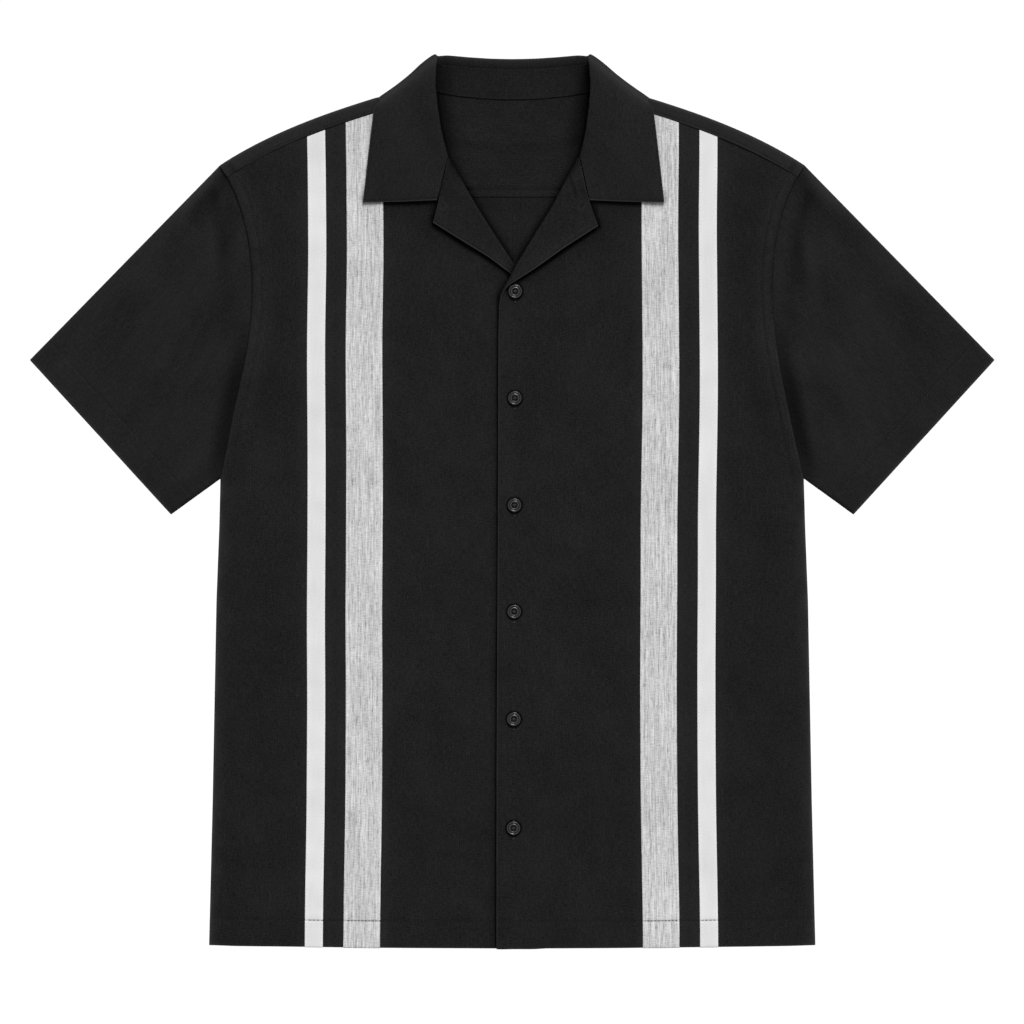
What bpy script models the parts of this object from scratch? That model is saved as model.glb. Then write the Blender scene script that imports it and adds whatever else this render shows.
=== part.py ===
"""A men's camp collar shirt with short sleeves, buttoned up and lying flat on its back.

Run it with  blender --background --python part.py  or from the Text Editor.

Frame: the shirt lies on the plane z = 0 with its front upwards. +X is the wearer's left, +Y runs from
the hem to the collar, and the origin is under the middle of the garment. Sizes in this file are in
millimetres, and MM turns them into Blender's metres as each mesh is made.

Every cloth piece is one surface, the middle of its wall, thickened by a Solidify modifier. Pieces that
lie on each other are one PLY apart, which leaves GAP of air between their walls.
"""

from math import atan, cos, hypot, pi, radians, sin
from typing import NamedTuple

import bmesh
import bpy
from mathutils import Vector

MM = 0.001

# Cloth and the stack of layers
CLOTH = 1.0  # wall of every cloth piece
GAP = 0.3  # air between pieces that touch
PLY = CLOTH + GAP  # from the middle of one layer to the middle of the next
TURN = 1.6  # from the middle of one layer to the middle of the other across a turned edge
FLOOR = CLOTH / 2  # middle of a layer that lies on the surface
SLEEVE_UNDER = FLOOR + PLY  # underlayer of a sleeve where it enters the armhole
SLEEVE_OVER = SLEEVE_UNDER + TURN
FRONT = SLEEVE_OVER + PLY  # both fronts, away from their side edges
LEAF = FRONT + PLY + TURN  # collar leaf, over the yoke and the stripes

# Body
HEM_CENTRE_Y = -388.4
HEM_RISE = 2.8  # from the centre of the hem to the side seam
HEM_HALF = 263.2
PLACKET_DROP = 0.8  # the overlapping front hangs this much lower along its edge
SIDE_SEAM = ((-385.6, HEM_HALF), (-260.0, 260.1), (-86.0, 256.7), (20.0, 252.7))  # y and x, from the hem up
ARMHOLE = ((253.5, 292.6), (204.0, 218.0), (232.0, 105.0), (252.7, 20.0))  # cubic curve, tip to underarm
SHOULDER = ((118.0, 351.2), (205.0, 324.5), (253.5, 292.6))  # quadratic curve, collar to tip
NECK_POINT = (74.4, 360.2)  # where the shoulder fold meets the collar seam
YOKE_SEAM_Y = 264.2  # seam between yoke and back
YOKE_FORWARD = 11.7  # the yoke laps this far over the front of the shoulder
SIDE_ROUNDING = 25.0  # the front comes down to the back over this width
ARMHOLE_LIFT = (-30.0, 10.0)  # y range where the side seam opens for the sleeve

# Box pleat in the back: the face lies outside, and the folds meet at the centre inside
PLEAT_HALF = 17.0
PLEAT_RAMP = (18.5, 32.0)  # |x| range where the back climbs on to the pleat
FOLD_STEPS = 4

# Grid cells of the body panels
ROWS_BELOW_UNDERARM = 6
ROWS_ABOVE_UNDERARM = 10
TOP_ROWS = (0.935, 0.96, 0.982)  # more rows in the fronts, as shares of a column
OUTER_COLUMNS = 4  # between the last straight column and the side

# Front closing
FRONT_EDGE_X = -12.3  # edge of the overlapping front
UNDER_EDGE_X = -15.0  # edge of the front underneath, on its own side
OVERLAP_RAMP = (18.0, 32.0)  # x range where the left front climbs on to the right one
BREAK_Y = 180.0  # where the lapel starts to turn back
GORGE = (54.6, 298.4)  # upper end of the lapel's roll line, where the collar starts
LAPEL_LAY = PLY + 0.15  # from the middle of a front to the middle of the lapel on it
LAPEL_WRAP = PLY + CLOTH / 2  # the lapel wraps the front's edge, which lies this far inside the fold
NECKLINE = ((58.6, 298.6), (64.9, 309.5), (69.4, 321.5), (71.9, 339.0))  # front's edge along the collar's stand
FRONT_COLUMNS = (-4.0, 2.0, 8.0, 13.0, 18.0, 25.0, 32.0, 44.0)  # between the edge and the gorge
TUCKED_UNDER_YOKE = 5.0  # the front reaches this far under the yoke
ARMHOLE_TOP_X = 247.5  # where the yoke's front seam meets the armhole
CROSSING = (0.0, 200.0)  # where one lapel passes over the other
CROSSING_LIFT = 1.65  # of the upper front, where one lapel passes over the other
CROSSING_REACH = (7.0, 36.0)  # the upper front is lifted in full, and no longer, at these distances

# Collar
SIDE_FOLD = ((62.6, 386.4), (116.5, 348.9))  # axis of the fold round the shoulder, roll line to edge
FALL_EDGE_Y = 319.4  # edge of the hidden fall at the centre back
FALL_HALF = 118.8  # half width of the fall, where it meets the side fold
FALL_RISE = 31.0  # rise of its edge towards the side fold
FALL_RAMP = 18.0  # the yoke starts to climb this far from the fall
YOKE_NECK_Y = 354.0  # edge of the yoke at the centre back, under the collar's stand

# Stripes: name, inner edge and outer edge
STRIPES = (("grey", 112.5, 145.2), ("white", 163.0, 179.0))

# Buttons
BUTTON_RADIUS = 5.95
BUTTON_X = (2.6, 2.3, 2.0, 1.7, 1.4, 1.1)
BUTTON_TOP_Y = 183.0
BUTTON_PITCH = 93.4
BUTTON_STEPS = 16
BUTTON_HOLE_RADIUS = 0.8
BUTTON_HOLE_REACH = 1.9  # from the centre to each hole
BUTTON_HOLE_STEPS = 6
BUTTON_PROFILE = (  # radius and height, from the middle of the face round to the middle of the back
    (0.0, 1.7),
    (3.7, 1.7),
    (4.2, 2.3),
    (5.2, 2.6),
    (5.95, 2.1),
    (5.95, 1.0),
    (5.0, 0.0),
    (0.0, 0.0),
)

# Colours, linear
BLACK_CLOTH = (0.0152, 0.0160, 0.0160)
WHITE_CLOTH = (0.760, 0.760, 0.760)
GREY_CLOTH = (0.570, 0.570, 0.570)
BLACK_PLASTIC = (0.008, 0.008, 0.009)


class CollarSection(NamedTuple):
    """One section across the collar, from the sewn edge of its stand over the roll to the leaf's edge."""

    roll: tuple  # on the roll line
    edge: tuple  # on the leaf's outer edge
    stand: tuple  # on the seam that sews the stand to the neck
    bearing: float  # degrees, the way the leaf leaves the roll line
    turn: float  # degrees round the side fold: 0 in front, 180 on the hidden back
    drop: float  # below the leaf's usual height
    steps: int  # grid steps to the next section


class LapelSection(NamedTuple):
    """One section across the lapel, from the roll line to its free edge."""

    roll_y: float
    edge: tuple
    steps: int


class SleeveRing(NamedTuple):
    """One ring round the sleeve. Its place is a share of the way to the cuff, plus a distance."""

    share: float
    distance: float
    inset: float  # of the shoulder fold, as a share of the armhole
    under: float  # height of the underlayer
    over: float  # height of the top layer
    crown: float  # rise of the top layer's middle


class SoftFold(NamedTuple):
    """A soft ridge or trough between two points, which fades out round its ends."""

    start: tuple
    end: tuple
    width: float
    lift: float


FOLD_FADE = 0.25  # share of a fold's length over which each end fades

FRONT_FOLDS = (
    SoftFold((96.0, 205.0), (92.0, 60.0), 26.0, -0.5),
    SoftFold((205.0, 90.0), (214.0, -110.0), 22.0, -0.7),
    SoftFold((60.0, -70.0), (66.0, -300.0), 30.0, -0.5),
    SoftFold((222.0, -170.0), (216.0, -350.0), 20.0, -0.6),
)
SLEEVE_FOLDS = (
    SoftFold((262.0, 262.0), (300.0, 205.0), 22.0, -0.8),
    SoftFold((262.0, 180.0), (300.0, 110.0), 24.0, -0.6),
    SoftFold((330.0, 180.0), (372.0, 120.0), 26.0, -0.5),
)

LAPEL = (
    LapelSection(GORGE[1], (65.0, 262.3), 2),
    LapelSection(284.0, (73.4, 240.8), 3),
    LapelSection(250.0, (45.0, 221.7), 3),
    LapelSection(222.0, (20.0, 205.0), 2),
    LapelSection(204.0, (4.5, 195.0), 1),
    LapelSection(196.0, (-1.5, 191.0), 1),
    LapelSection(184.0, (-7.6, 180.6), 0),
)
LAPEL_UNDER = 6  # the lower lapel stops at this many sections, just under the upper one
LAPEL_ACROSS = 5
LAPEL_LIP = radians(95)  # how far the lapel's fold wraps the front's edge
LAPEL_LIP_STEPS = 3

COLLAR = (
    CollarSection((55.1, 298.7), (65.5, 262.5), (57.4, 299.6), -29.0, 0.0, 1.3, 1),
    CollarSection((58.4, 311.0), (97.5, 262.0), (64.0, 309.2), -18.0, 0.0, 0.6, 1),
    CollarSection((61.4, 323.6), (129.9, 261.4), (68.5, 321.6), -12.0, 0.0, 0.0, 2),
    CollarSection((64.2, 342.0), (125.8, 300.0), (71.0, 339.5), -4.0, 0.0, 0.0, 1),
    CollarSection((65.3, 358.0), (121.8, 337.2), (71.4, 354.5), -4.0, 0.0, 0.0, 2),
    CollarSection(*SIDE_FOLD, (70.5, 373.0), -35.0, 0.0, 0.0, 8),
    CollarSection(*SIDE_FOLD, (70.5, 373.0), -35.0, 180.0, 0.0, 2),
    CollarSection((54.0, 387.4), (98.0, 341.0), (66.4, 356.2), -75.0, 180.0, 0.0, 1),
    CollarSection((36.0, 386.2), (66.0, 329.0), (46.0, 354.0), -86.0, 180.0, 0.0, 1),
    CollarSection((18.0, 385.2), (33.0, 321.8), (23.0, 351.9), -88.0, 180.0, 0.0, 1),
    CollarSection((0.0, 384.8), (0.0, FALL_EDGE_Y), (0.0, 349.9), -90.0, 180.0, 0.0, 0),
)
STAND_ACROSS = 2
ROLL_STEPS = 5
LEAF_ACROSS = 4

SLEEVE_CUFF = ((418.5, 123.1), (296.0, -10.9))
SLEEVE_RINGS = (
    SleeveRing(0.0, -6.0, 0.009, SLEEVE_UNDER, SLEEVE_OVER, 0.0),
    SleeveRing(0.0, 0.5, 0.009, SLEEVE_UNDER, SLEEVE_OVER, 0.0),
    SleeveRing(0.0, 8.0, 0.0, FLOOR, SLEEVE_OVER, 0.2),
    SleeveRing(0.22, 6.0, 0.0, FLOOR, SLEEVE_OVER, 0.6),
    SleeveRing(0.42, 3.0, 0.0, FLOOR, SLEEVE_OVER, 0.7),
    SleeveRing(0.62, 1.5, 0.0, FLOOR, SLEEVE_OVER - 0.2, 0.6),
    SleeveRing(0.82, 0.5, 0.0, FLOOR, SLEEVE_OVER - 0.4, 0.4),
    SleeveRing(1.0, 0.0, 0.0, FLOOR, SLEEVE_OVER - 0.6, 0.2),
)
SLEEVE_ACROSS = 11


def lerp(a, b, t):
    return a + (b - a) * t


def mix(p, q, t):
    """The point a share t of the way from p to q."""
    return (lerp(p[0], q[0], t), lerp(p[1], q[1], t))


def moved(p, direction, distance):
    return (p[0] + direction[0] * distance, p[1] + direction[1] * distance)


def unit(p, q):
    """The unit vector from p towards q."""
    length = hypot(q[0] - p[0], q[1] - p[1])
    return ((q[0] - p[0]) / length, (q[1] - p[1]) / length)


def ease(t):
    """A smooth step from 0 at t = 0 to 1 at t = 1."""
    t = min(max(t, 0.0), 1.0)
    return t * t * (3 - 2 * t)


def between(limits, value):
    """How far value is from the first limit to the second, eased."""
    return ease((value - limits[0]) / (limits[1] - limits[0]))


def along(table, key):
    """The value at key in a table of (key, value) pairs in rising order, straight between them."""
    for (low, first), (high, last) in zip(table, table[1:]):
        if key <= high:
            return lerp(first, last, (key - low) / (high - low))
    return table[-1][1]


def curve_at(points, t):
    """A Bezier curve of any degree, by de Casteljau's rule."""
    while len(points) > 1:
        points = [mix(p, q, t) for p, q in zip(points, points[1:])]
    return points[0]


def curve_parameter(points, axis, value):
    """Where a Bezier curve that runs one way along an axis reaches a value on it."""
    low, high = 0.0, 1.0
    rising = points[-1][axis] > points[0][axis]
    for _ in range(30):
        middle = (low + high) / 2
        if (curve_at(points, middle)[axis] < value) == rising:
            low = middle
        else:
            high = middle
    return (low + high) / 2


def curve_normal(points, t):
    """The unit normal on the left of a Bezier curve's direction."""
    step = 0.001
    ahead = unit(curve_at(points, t - step), curve_at(points, t + step))
    return (-ahead[1], ahead[0])


def hem_y(x):
    return HEM_CENTRE_Y + HEM_RISE * (min(abs(x), HEM_HALF) / HEM_HALF) ** 2


def body_edge_x(y):
    """Half width of the body: the side seam, and above the underarm the armhole."""
    if y <= SIDE_SEAM[-1][0]:
        return along(SIDE_SEAM, y)
    return curve_at(ARMHOLE, curve_parameter(ARMHOLE, 1, y))[0]


def shoulder_y(x):
    """The fold of the shoulder, from the neck point to the tip."""
    if x < SHOULDER[0][0]:
        return lerp(NECK_POINT[1], SHOULDER[0][1], (x - NECK_POINT[0]) / (SHOULDER[0][0] - NECK_POINT[0]))
    return curve_at(SHOULDER, curve_parameter(SHOULDER, 0, x))[1]


def shoulder_normal(x):
    """The outward unit normal of the shoulder fold."""
    step = 2.0
    low = (max(x - step, NECK_POINT[0]), shoulder_y(max(x - step, NECK_POINT[0])))
    high = (min(x + step, SHOULDER[2][0]), shoulder_y(min(x + step, SHOULDER[2][0])))
    ahead = unit(low, high)
    return (-ahead[1], ahead[0])


def soft_lift(folds, x, y):
    """What the soft folds add to the cloth's height at a point."""
    lift = 0.0
    for fold in folds:
        ahead = unit(fold.start, fold.end)
        length = hypot(fold.end[0] - fold.start[0], fold.end[1] - fold.start[1])
        east, north = x - fold.start[0], y - fold.start[1]
        share = (east * ahead[0] + north * ahead[1]) / length
        across = abs(east * ahead[1] - north * ahead[0]) / fold.width
        ends = ease((share + FOLD_FADE) / (2 * FOLD_FADE)) * ease((1 + FOLD_FADE - share) / (2 * FOLD_FADE))
        lift += fold.lift * ease(1 - across) * ends
    return lift


def front_height(x, y):
    """Height of either front at |x|, apart from the overlap."""
    x = abs(x)
    edge = lerp(FLOOR + PLY, FRONT, between(ARMHOLE_LIFT, y))
    inside = ease((body_edge_x(min(y, ARMHOLE[0][1])) - x) / SIDE_ROUNDING)
    return lerp(edge, FRONT + soft_lift(FRONT_FOLDS, x, y), inside)


def left_front_height(x, y):
    """The left front lies on the right one, and higher still where it crosses the right lapel."""
    away = hypot(x - CROSSING[0], y - CROSSING[1])
    overlap = 1 - between(OVERLAP_RAMP, x)
    crossing = (CROSSING_REACH[1] - away) / (CROSSING_REACH[1] - CROSSING_REACH[0])
    return front_height(x, y) + PLY * overlap + CROSSING_LIFT * min(max(crossing, 0.0), 1.0)


def fall_edge_y(x):
    """Edge of the hidden fall of the collar."""
    return FALL_EDGE_Y + FALL_RISE * (x / FALL_HALF) ** 2


def yoke_height(x, y):
    """The yoke climbs over the collar's fall, and over the pleat where it meets the back."""
    edge = fall_edge_y(x)
    over_fall = between((edge - FALL_RAMP, edge - FALL_RAMP / 3), y)
    over_pleat = (1 - between(PLEAT_RAMP, abs(x))) * (1 - between((YOKE_SEAM_Y, YOKE_SEAM_Y + 20.0), y))
    return FLOOR + PLY * max(over_fall, over_pleat)


def material(name, colour, roughness):
    made = bpy.data.materials.new(name)
    made.use_nodes = True
    shader = made.node_tree.nodes["Principled BSDF"]
    shader.inputs["Base Color"].default_value = (*colour, 1.0)
    shader.inputs["Roughness"].default_value = roughness
    shader.inputs["Metallic"].default_value = 0.0
    return made


def new_object(name, mesh, collection, finish):
    made = bpy.data.objects.new(name, mesh)
    mesh.materials.append(finish)
    collection.objects.link(made)
    return made


def cloth(name, columns, rows, place, collection, finish, keep=None, mirror=False):
    """A cloth piece: a grid whose point (column, row) goes to place(column, row), then its wall.

    keep(column, row) says which cells stay, for a piece whose outline has a step. A mirrored piece is
    drawn on the +X side and ends on the plane x = 0.
    """
    mesh = bpy.data.meshes.new(name)
    grid = bmesh.new()
    bmesh.ops.create_grid(grid, x_segments=columns, y_segments=rows, size=0.5)
    cell = {}
    for face in grid.faces:
        centre = face.calc_center_median()
        cell[face] = (int((centre.x + 0.5) * columns), int((centre.y + 0.5) * rows))
    if keep:
        dropped = [face for face, (column, row) in cell.items() if not keep(column, row)]
        bmesh.ops.delete(grid, geom=dropped, context="FACES")
    for vertex in grid.verts:
        column = round((vertex.co.x + 0.5) * columns)
        row = round((vertex.co.y + 0.5) * rows)
        vertex.co = Vector(place(column, row)) * MM
    bmesh.ops.remove_doubles(grid, verts=grid.verts, dist=0.01 * MM)
    bmesh.ops.recalc_face_normals(grid, faces=grid.faces)
    grid.to_mesh(mesh)
    grid.free()
    mesh.shade_smooth()
    piece = new_object(name, mesh, collection, finish)
    if mirror:
        half = piece.modifiers.new("Both halves", "MIRROR")
        half.merge_threshold = 0.01 * MM
    wall = piece.modifiers.new("Wall", "SOLIDIFY")
    wall.thickness = CLOTH * MM
    wall.offset = 0.0
    wall.use_even_offset = True
    return piece


def body_rows(top):
    """Heights of the rows at the body's side: up to the underarm, and from there to the top."""
    hem, underarm = SIDE_SEAM[0][0], SIDE_SEAM[-1][0]
    lower = [lerp(hem, underarm, row / ROWS_BELOW_UNDERARM) for row in range(ROWS_BELOW_UNDERARM)]
    upper = [lerp(underarm, top, row / ROWS_ABOVE_UNDERARM) for row in range(ROWS_ABOVE_UNDERARM + 1)]
    return lower + upper


def row_shares(top, more=()):
    """The rows as shares of the way from the hem to the top, with some more in between."""
    hem = SIDE_SEAM[0][0]
    return sorted([(y - hem) / (top - hem) for y in body_rows(top)] + list(more))


def pleat_section():
    """The half section of the back across its box pleat: x and height, from the centre of the face."""
    radius = PLY / 2
    outer, inner = PLEAT_HALF - radius, radius + PLY / 2
    path = [(0.0, FLOOR)]
    for step in range(FOLD_STEPS + 1):
        angle = pi * step / FOLD_STEPS
        path.append((outer + radius * sin(angle), FLOOR + radius - radius * cos(angle)))
    for step in range(FOLD_STEPS + 1):
        angle = pi * step / FOLD_STEPS
        path.append((inner - radius * sin(angle), FLOOR + 3 * radius - radius * cos(angle)))
    for share in (0.0, 0.3, 0.7, 1.0):
        path.append((lerp(*PLEAT_RAMP, share), FLOOR + 2 * PLY * (1 - ease(share))))
    return path


def make_back(collection, finish):
    """The back from the hem to the yoke seam, with the box pleat folded outwards."""
    path = pleat_section()
    top = YOKE_SEAM_Y - GAP / 2
    shares = row_shares(top)
    last = len(path) - 1

    def place(column, row):
        if column <= last:
            x, z = path[column]
            return (x, lerp(hem_y(x), top, shares[row]), z)
        share = (column - last) / OUTER_COLUMNS
        x = lerp(path[last][0], body_edge_x(lerp(SIDE_SEAM[0][0], top, shares[row])), share)
        return (x, lerp(hem_y(x), top, shares[row]), FLOOR)

    cloth("back_panel", last + OUTER_COLUMNS, len(shares) - 1, place, collection, finish, mirror=True)


def yoke_seam_y(x):
    """The yoke's seam on the front of the shoulder."""
    return shoulder_y(x) - YOKE_FORWARD / shoulder_normal(x)[1]


def make_yoke(collection, finish):
    """The yoke: flat across the back, then folded forward over each shoulder."""
    neck_cells, shoulder_cells = 4, 14
    back_cells, wrap_cells, strip_cells = 8, 6, 1
    bottom = YOKE_SEAM_Y + GAP / 2
    top_height = FRONT + PLY

    def shoulder_fold(x):
        """The fold's centre in plan, its normal, and its lower height."""
        normal = shoulder_normal(x)
        tip = (x, shoulder_y(x))
        low = yoke_height(*moved(tip, normal, -YOKE_FORWARD / 4))
        return moved(tip, normal, -((top_height - low) / 2 + CLOTH / 2)), normal, low

    def place(column, row):
        if column < neck_cells:
            x = NECK_POINT[0] * column / neck_cells
            foot, low = (x, bottom), None
            corner = shoulder_fold(NECK_POINT[0])[0]
            top = (x, lerp(YOKE_NECK_Y, corner[1], (x / corner[0]) ** 2))
        else:
            share = (column - neck_cells) / shoulder_cells
            foot = (lerp(NECK_POINT[0], body_edge_x(bottom), share), bottom)
            top, normal, low = shoulder_fold(lerp(NECK_POINT[0], SHOULDER[2][0], share))
        if row <= back_cells or low is None:
            x, y = mix(foot, top, min(row / back_cells, 1.0))
            return (x, y, yoke_height(x, y))
        radius = (top_height - low) / 2
        if row <= back_cells + wrap_cells:
            angle = pi * (row - back_cells) / wrap_cells
            return (*moved(top, normal, radius * sin(angle)), low + radius - radius * cos(angle))
        return (*moved(top, normal, radius + CLOTH / 2 - YOKE_FORWARD), top_height)

    def keep(column, row):
        return column >= neck_cells or row < back_cells

    columns, rows = neck_cells + shoulder_cells, back_cells + wrap_cells + strip_cells
    cloth("yoke", columns, rows, place, collection, finish, keep, mirror=True)


def roll_x(y):
    """The straight roll line of a lapel, from the break to the gorge."""
    return lerp(FRONT_EDGE_X, GORGE[0], (y - BREAK_Y) / (GORGE[1] - BREAK_Y))


def roll_normal():
    """The unit normal of the roll line, towards the lapel."""
    ahead = unit((FRONT_EDGE_X, BREAK_Y), GORGE)
    return (ahead[1], -ahead[0])


def front_outline(edge_x):
    """Columns of a front as (x, top y), from its edge to the last stripe: roll line, neckline, yoke."""
    start = moved((FRONT_EDGE_X, BREAK_Y), roll_normal(), LAPEL_WRAP)
    end = moved(GORGE, roll_normal(), LAPEL_WRAP)
    slope = (end[1] - start[1]) / (end[0] - start[0])
    columns = [(x, end[1] + (x - end[0]) * slope) for x in (edge_x, *FRONT_COLUMNS)]
    columns += [end, *NECKLINE]
    stripe_edges = [x for _, inner, outer in STRIPES for x in (inner, outer)]
    for x in (NECK_POINT[0], (NECK_POINT[0] + stripe_edges[0]) / 2, *stripe_edges):
        columns.append((x, yoke_seam_y(x) + TUCKED_UNDER_YOKE))
    return columns


def make_front(name, side, edge_x, height, collection, finish):
    """A front, from its edge to the side seam and armhole; side is +1 for the wearer's left."""
    columns = front_outline(edge_x)
    last = len(columns) - 1
    armhole_top = yoke_seam_y(ARMHOLE_TOP_X) + TUCKED_UNDER_YOKE
    shares = row_shares(armhole_top, TOP_ROWS)
    drop = PLACKET_DROP if side > 0 else 0.0

    def place(column, row):
        x, top = columns[min(column, last)]
        if column > last:
            share = (column - last) / OUTER_COLUMNS
            top = yoke_seam_y(lerp(x, ARMHOLE_TOP_X, share)) + TUCKED_UNDER_YOKE
            side_y = lerp(SIDE_SEAM[0][0], top, shares[row])
            x = lerp(x, body_edge_x(min(side_y, ARMHOLE[0][1])), share)
        foot = hem_y(x) - drop * (1 - between(OVERLAP_RAMP, x))
        y = lerp(foot, top, shares[row])
        return (side * x, y, height(x, y))

    cloth(name, last + OUTER_COLUMNS, len(shares) - 1, place, collection, finish)


def make_stripes(side_name, side, height, collection, finishes):
    """The stripes let on to one front, from the hem to the yoke."""
    shares = row_shares(yoke_seam_y(STRIPES[0][1]), TOP_ROWS)
    for colour, inner, outer in STRIPES:

        def place(column, row, inner=inner, outer=outer):
            x = (inner, outer)[column]
            y = lerp(hem_y(x), yoke_seam_y(x) - 2 * GAP, shares[row])
            return (side * x, y, height(x, y) + PLY)

        name = f"stripe_{colour}_{side_name}"
        cloth(name, 1, len(shares) - 1, place, collection, finishes[colour])


def spread(sections):
    """Every section of a table and the evenly mixed ones between them, by each row's steps."""
    made = []
    for first, second in zip(sections, sections[1:]):
        for step in range(first.steps):
            made.append((first, second, step / first.steps))
    made.append((sections[-1], sections[-1], 0.0))
    return made


def make_lapel(name, side, sections, height, collection, finish):
    """The facing where it turns out as a lapel: a lip round the front's edge, then the flap."""
    normal = roll_normal()
    stations = spread(sections)

    def place(column, row):
        first, second, share = stations[row]
        y = lerp(first.roll_y, second.roll_y, share)
        centre = moved((roll_x(y), y), normal, LAPEL_WRAP)
        if column < LAPEL_LIP_STEPS:
            angle = LAPEL_LIP * (1 - column / LAPEL_LIP_STEPS)
            x, y = moved(centre, normal, -PLY * sin(angle))
            return (side * x, y, height(*centre) + LAPEL_LAY * cos(angle))
        across = (column - LAPEL_LIP_STEPS) / LAPEL_ACROSS
        x, y = mix(centre, mix(first.edge, second.edge, share), across)
        return (side * x, y, height(x, y) + LAPEL_LAY)

    cloth(name, LAPEL_LIP_STEPS + LAPEL_ACROSS, len(stations) - 1, place, collection, finish)


def make_collar(collection, finish):
    """The camp collar in one piece: stand, roll and leaf, turned round the shoulder to the back."""
    down = unit(*SIDE_FOLD)
    outward = (-down[1], down[0])
    leaf_offset = (LEAF - FLOOR) / 2
    centre_height = (LEAF + FLOOR) / 2
    stand_offsets = (LEAF - TURN - centre_height, centre_height - FLOOR - 2 * PLY)
    stations = spread(COLLAR)

    def place(column, row):
        first, second, share = stations[row]
        turn = radians(lerp(first.turn, second.turn, share))
        bearing = radians(lerp(first.bearing, second.bearing, share))
        away = (cos(bearing), sin(bearing))
        stand_offset = lerp(*stand_offsets, turn / pi)
        radius = (leaf_offset - stand_offset) / 2
        roll = moved(mix(first.roll, second.roll, share), away, radius + CLOTH / 2)
        if column <= STAND_ACROSS:
            point = mix(mix(first.stand, second.stand, share), roll, column / STAND_ACROSS)
            offset = stand_offset
        elif column <= STAND_ACROSS + ROLL_STEPS:
            angle = pi * (column - STAND_ACROSS) / ROLL_STEPS
            point = moved(roll, away, -radius * sin(angle))
            offset = stand_offset + radius - radius * cos(angle)
        else:
            across = (column - STAND_ACROSS - ROLL_STEPS) / LEAF_ACROSS
            point = mix(roll, mix(first.edge, second.edge, share), across)
            offset = leaf_offset
        x, y = moved(point, outward, offset * sin(turn))
        return (x, y, centre_height + offset * cos(turn) - lerp(first.drop, second.drop, share))

    columns = STAND_ACROSS + ROLL_STEPS + LEAF_ACROSS
    cloth("collar", columns, len(stations) - 1, place, collection, finish, mirror=True)


def make_sleeve(name, side, collection, finish):
    """A short sleeve as a flattened tube, its upper end tucked between front and back."""

    def at(ring, across):
        """The ring's point in plan at a share of the way from the shoulder fold to the underarm."""
        share = lerp(ring.inset, 1.0, across)
        top = curve_at(ARMHOLE, share)
        if ring.distance < 0:
            return moved(top, curve_normal(ARMHOLE, min(max(share, 0.01), 0.99)), ring.distance)
        cuff = mix(*SLEEVE_CUFF, across)
        return moved(mix(top, cuff, ring.share), unit(top, cuff), ring.distance)

    def place(column, row):
        ring = SLEEVE_RINGS[row]
        radius = (ring.over - ring.under) / 2
        ahead = unit(at(ring, 0.0), at(ring, 1.0))
        column %= 2 * (SLEEVE_ACROSS + FOLD_STEPS)
        on_top = column <= SLEEVE_ACROSS
        if on_top or SLEEVE_ACROSS + FOLD_STEPS <= column <= 2 * SLEEVE_ACROSS + FOLD_STEPS:
            across = column / SLEEVE_ACROSS if on_top else 2 + (FOLD_STEPS - column) / SLEEVE_ACROSS
            x, y = moved(at(ring, across), ahead, (radius + CLOTH / 2) * (1 - 2 * across))
            if not on_top:
                return (side * x, y, ring.under)
            folds = soft_lift(SLEEVE_FOLDS, x, y) if ring.crown else 0.0
            return (side * x, y, ring.over + ring.crown * sin(pi * across) + folds * sin(pi * across))
        at_underarm = column < SLEEVE_ACROSS + FOLD_STEPS
        first = SLEEVE_ACROSS if at_underarm else 2 * SLEEVE_ACROSS + FOLD_STEPS
        angle = pi * (column - first) / FOLD_STEPS
        outward = 1 if at_underarm else -1
        reach = outward * (radius * sin(angle) - radius - CLOTH / 2)
        x, y = moved(at(ring, 1.0 if at_underarm else 0.0), ahead, reach)
        return (side * x, y, ring.under + radius + outward * radius * cos(angle))

    columns = 2 * (SLEEVE_ACROSS + FOLD_STEPS)
    cloth(name, columns, len(SLEEVE_RINGS) - 1, place, collection, finish)


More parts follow.
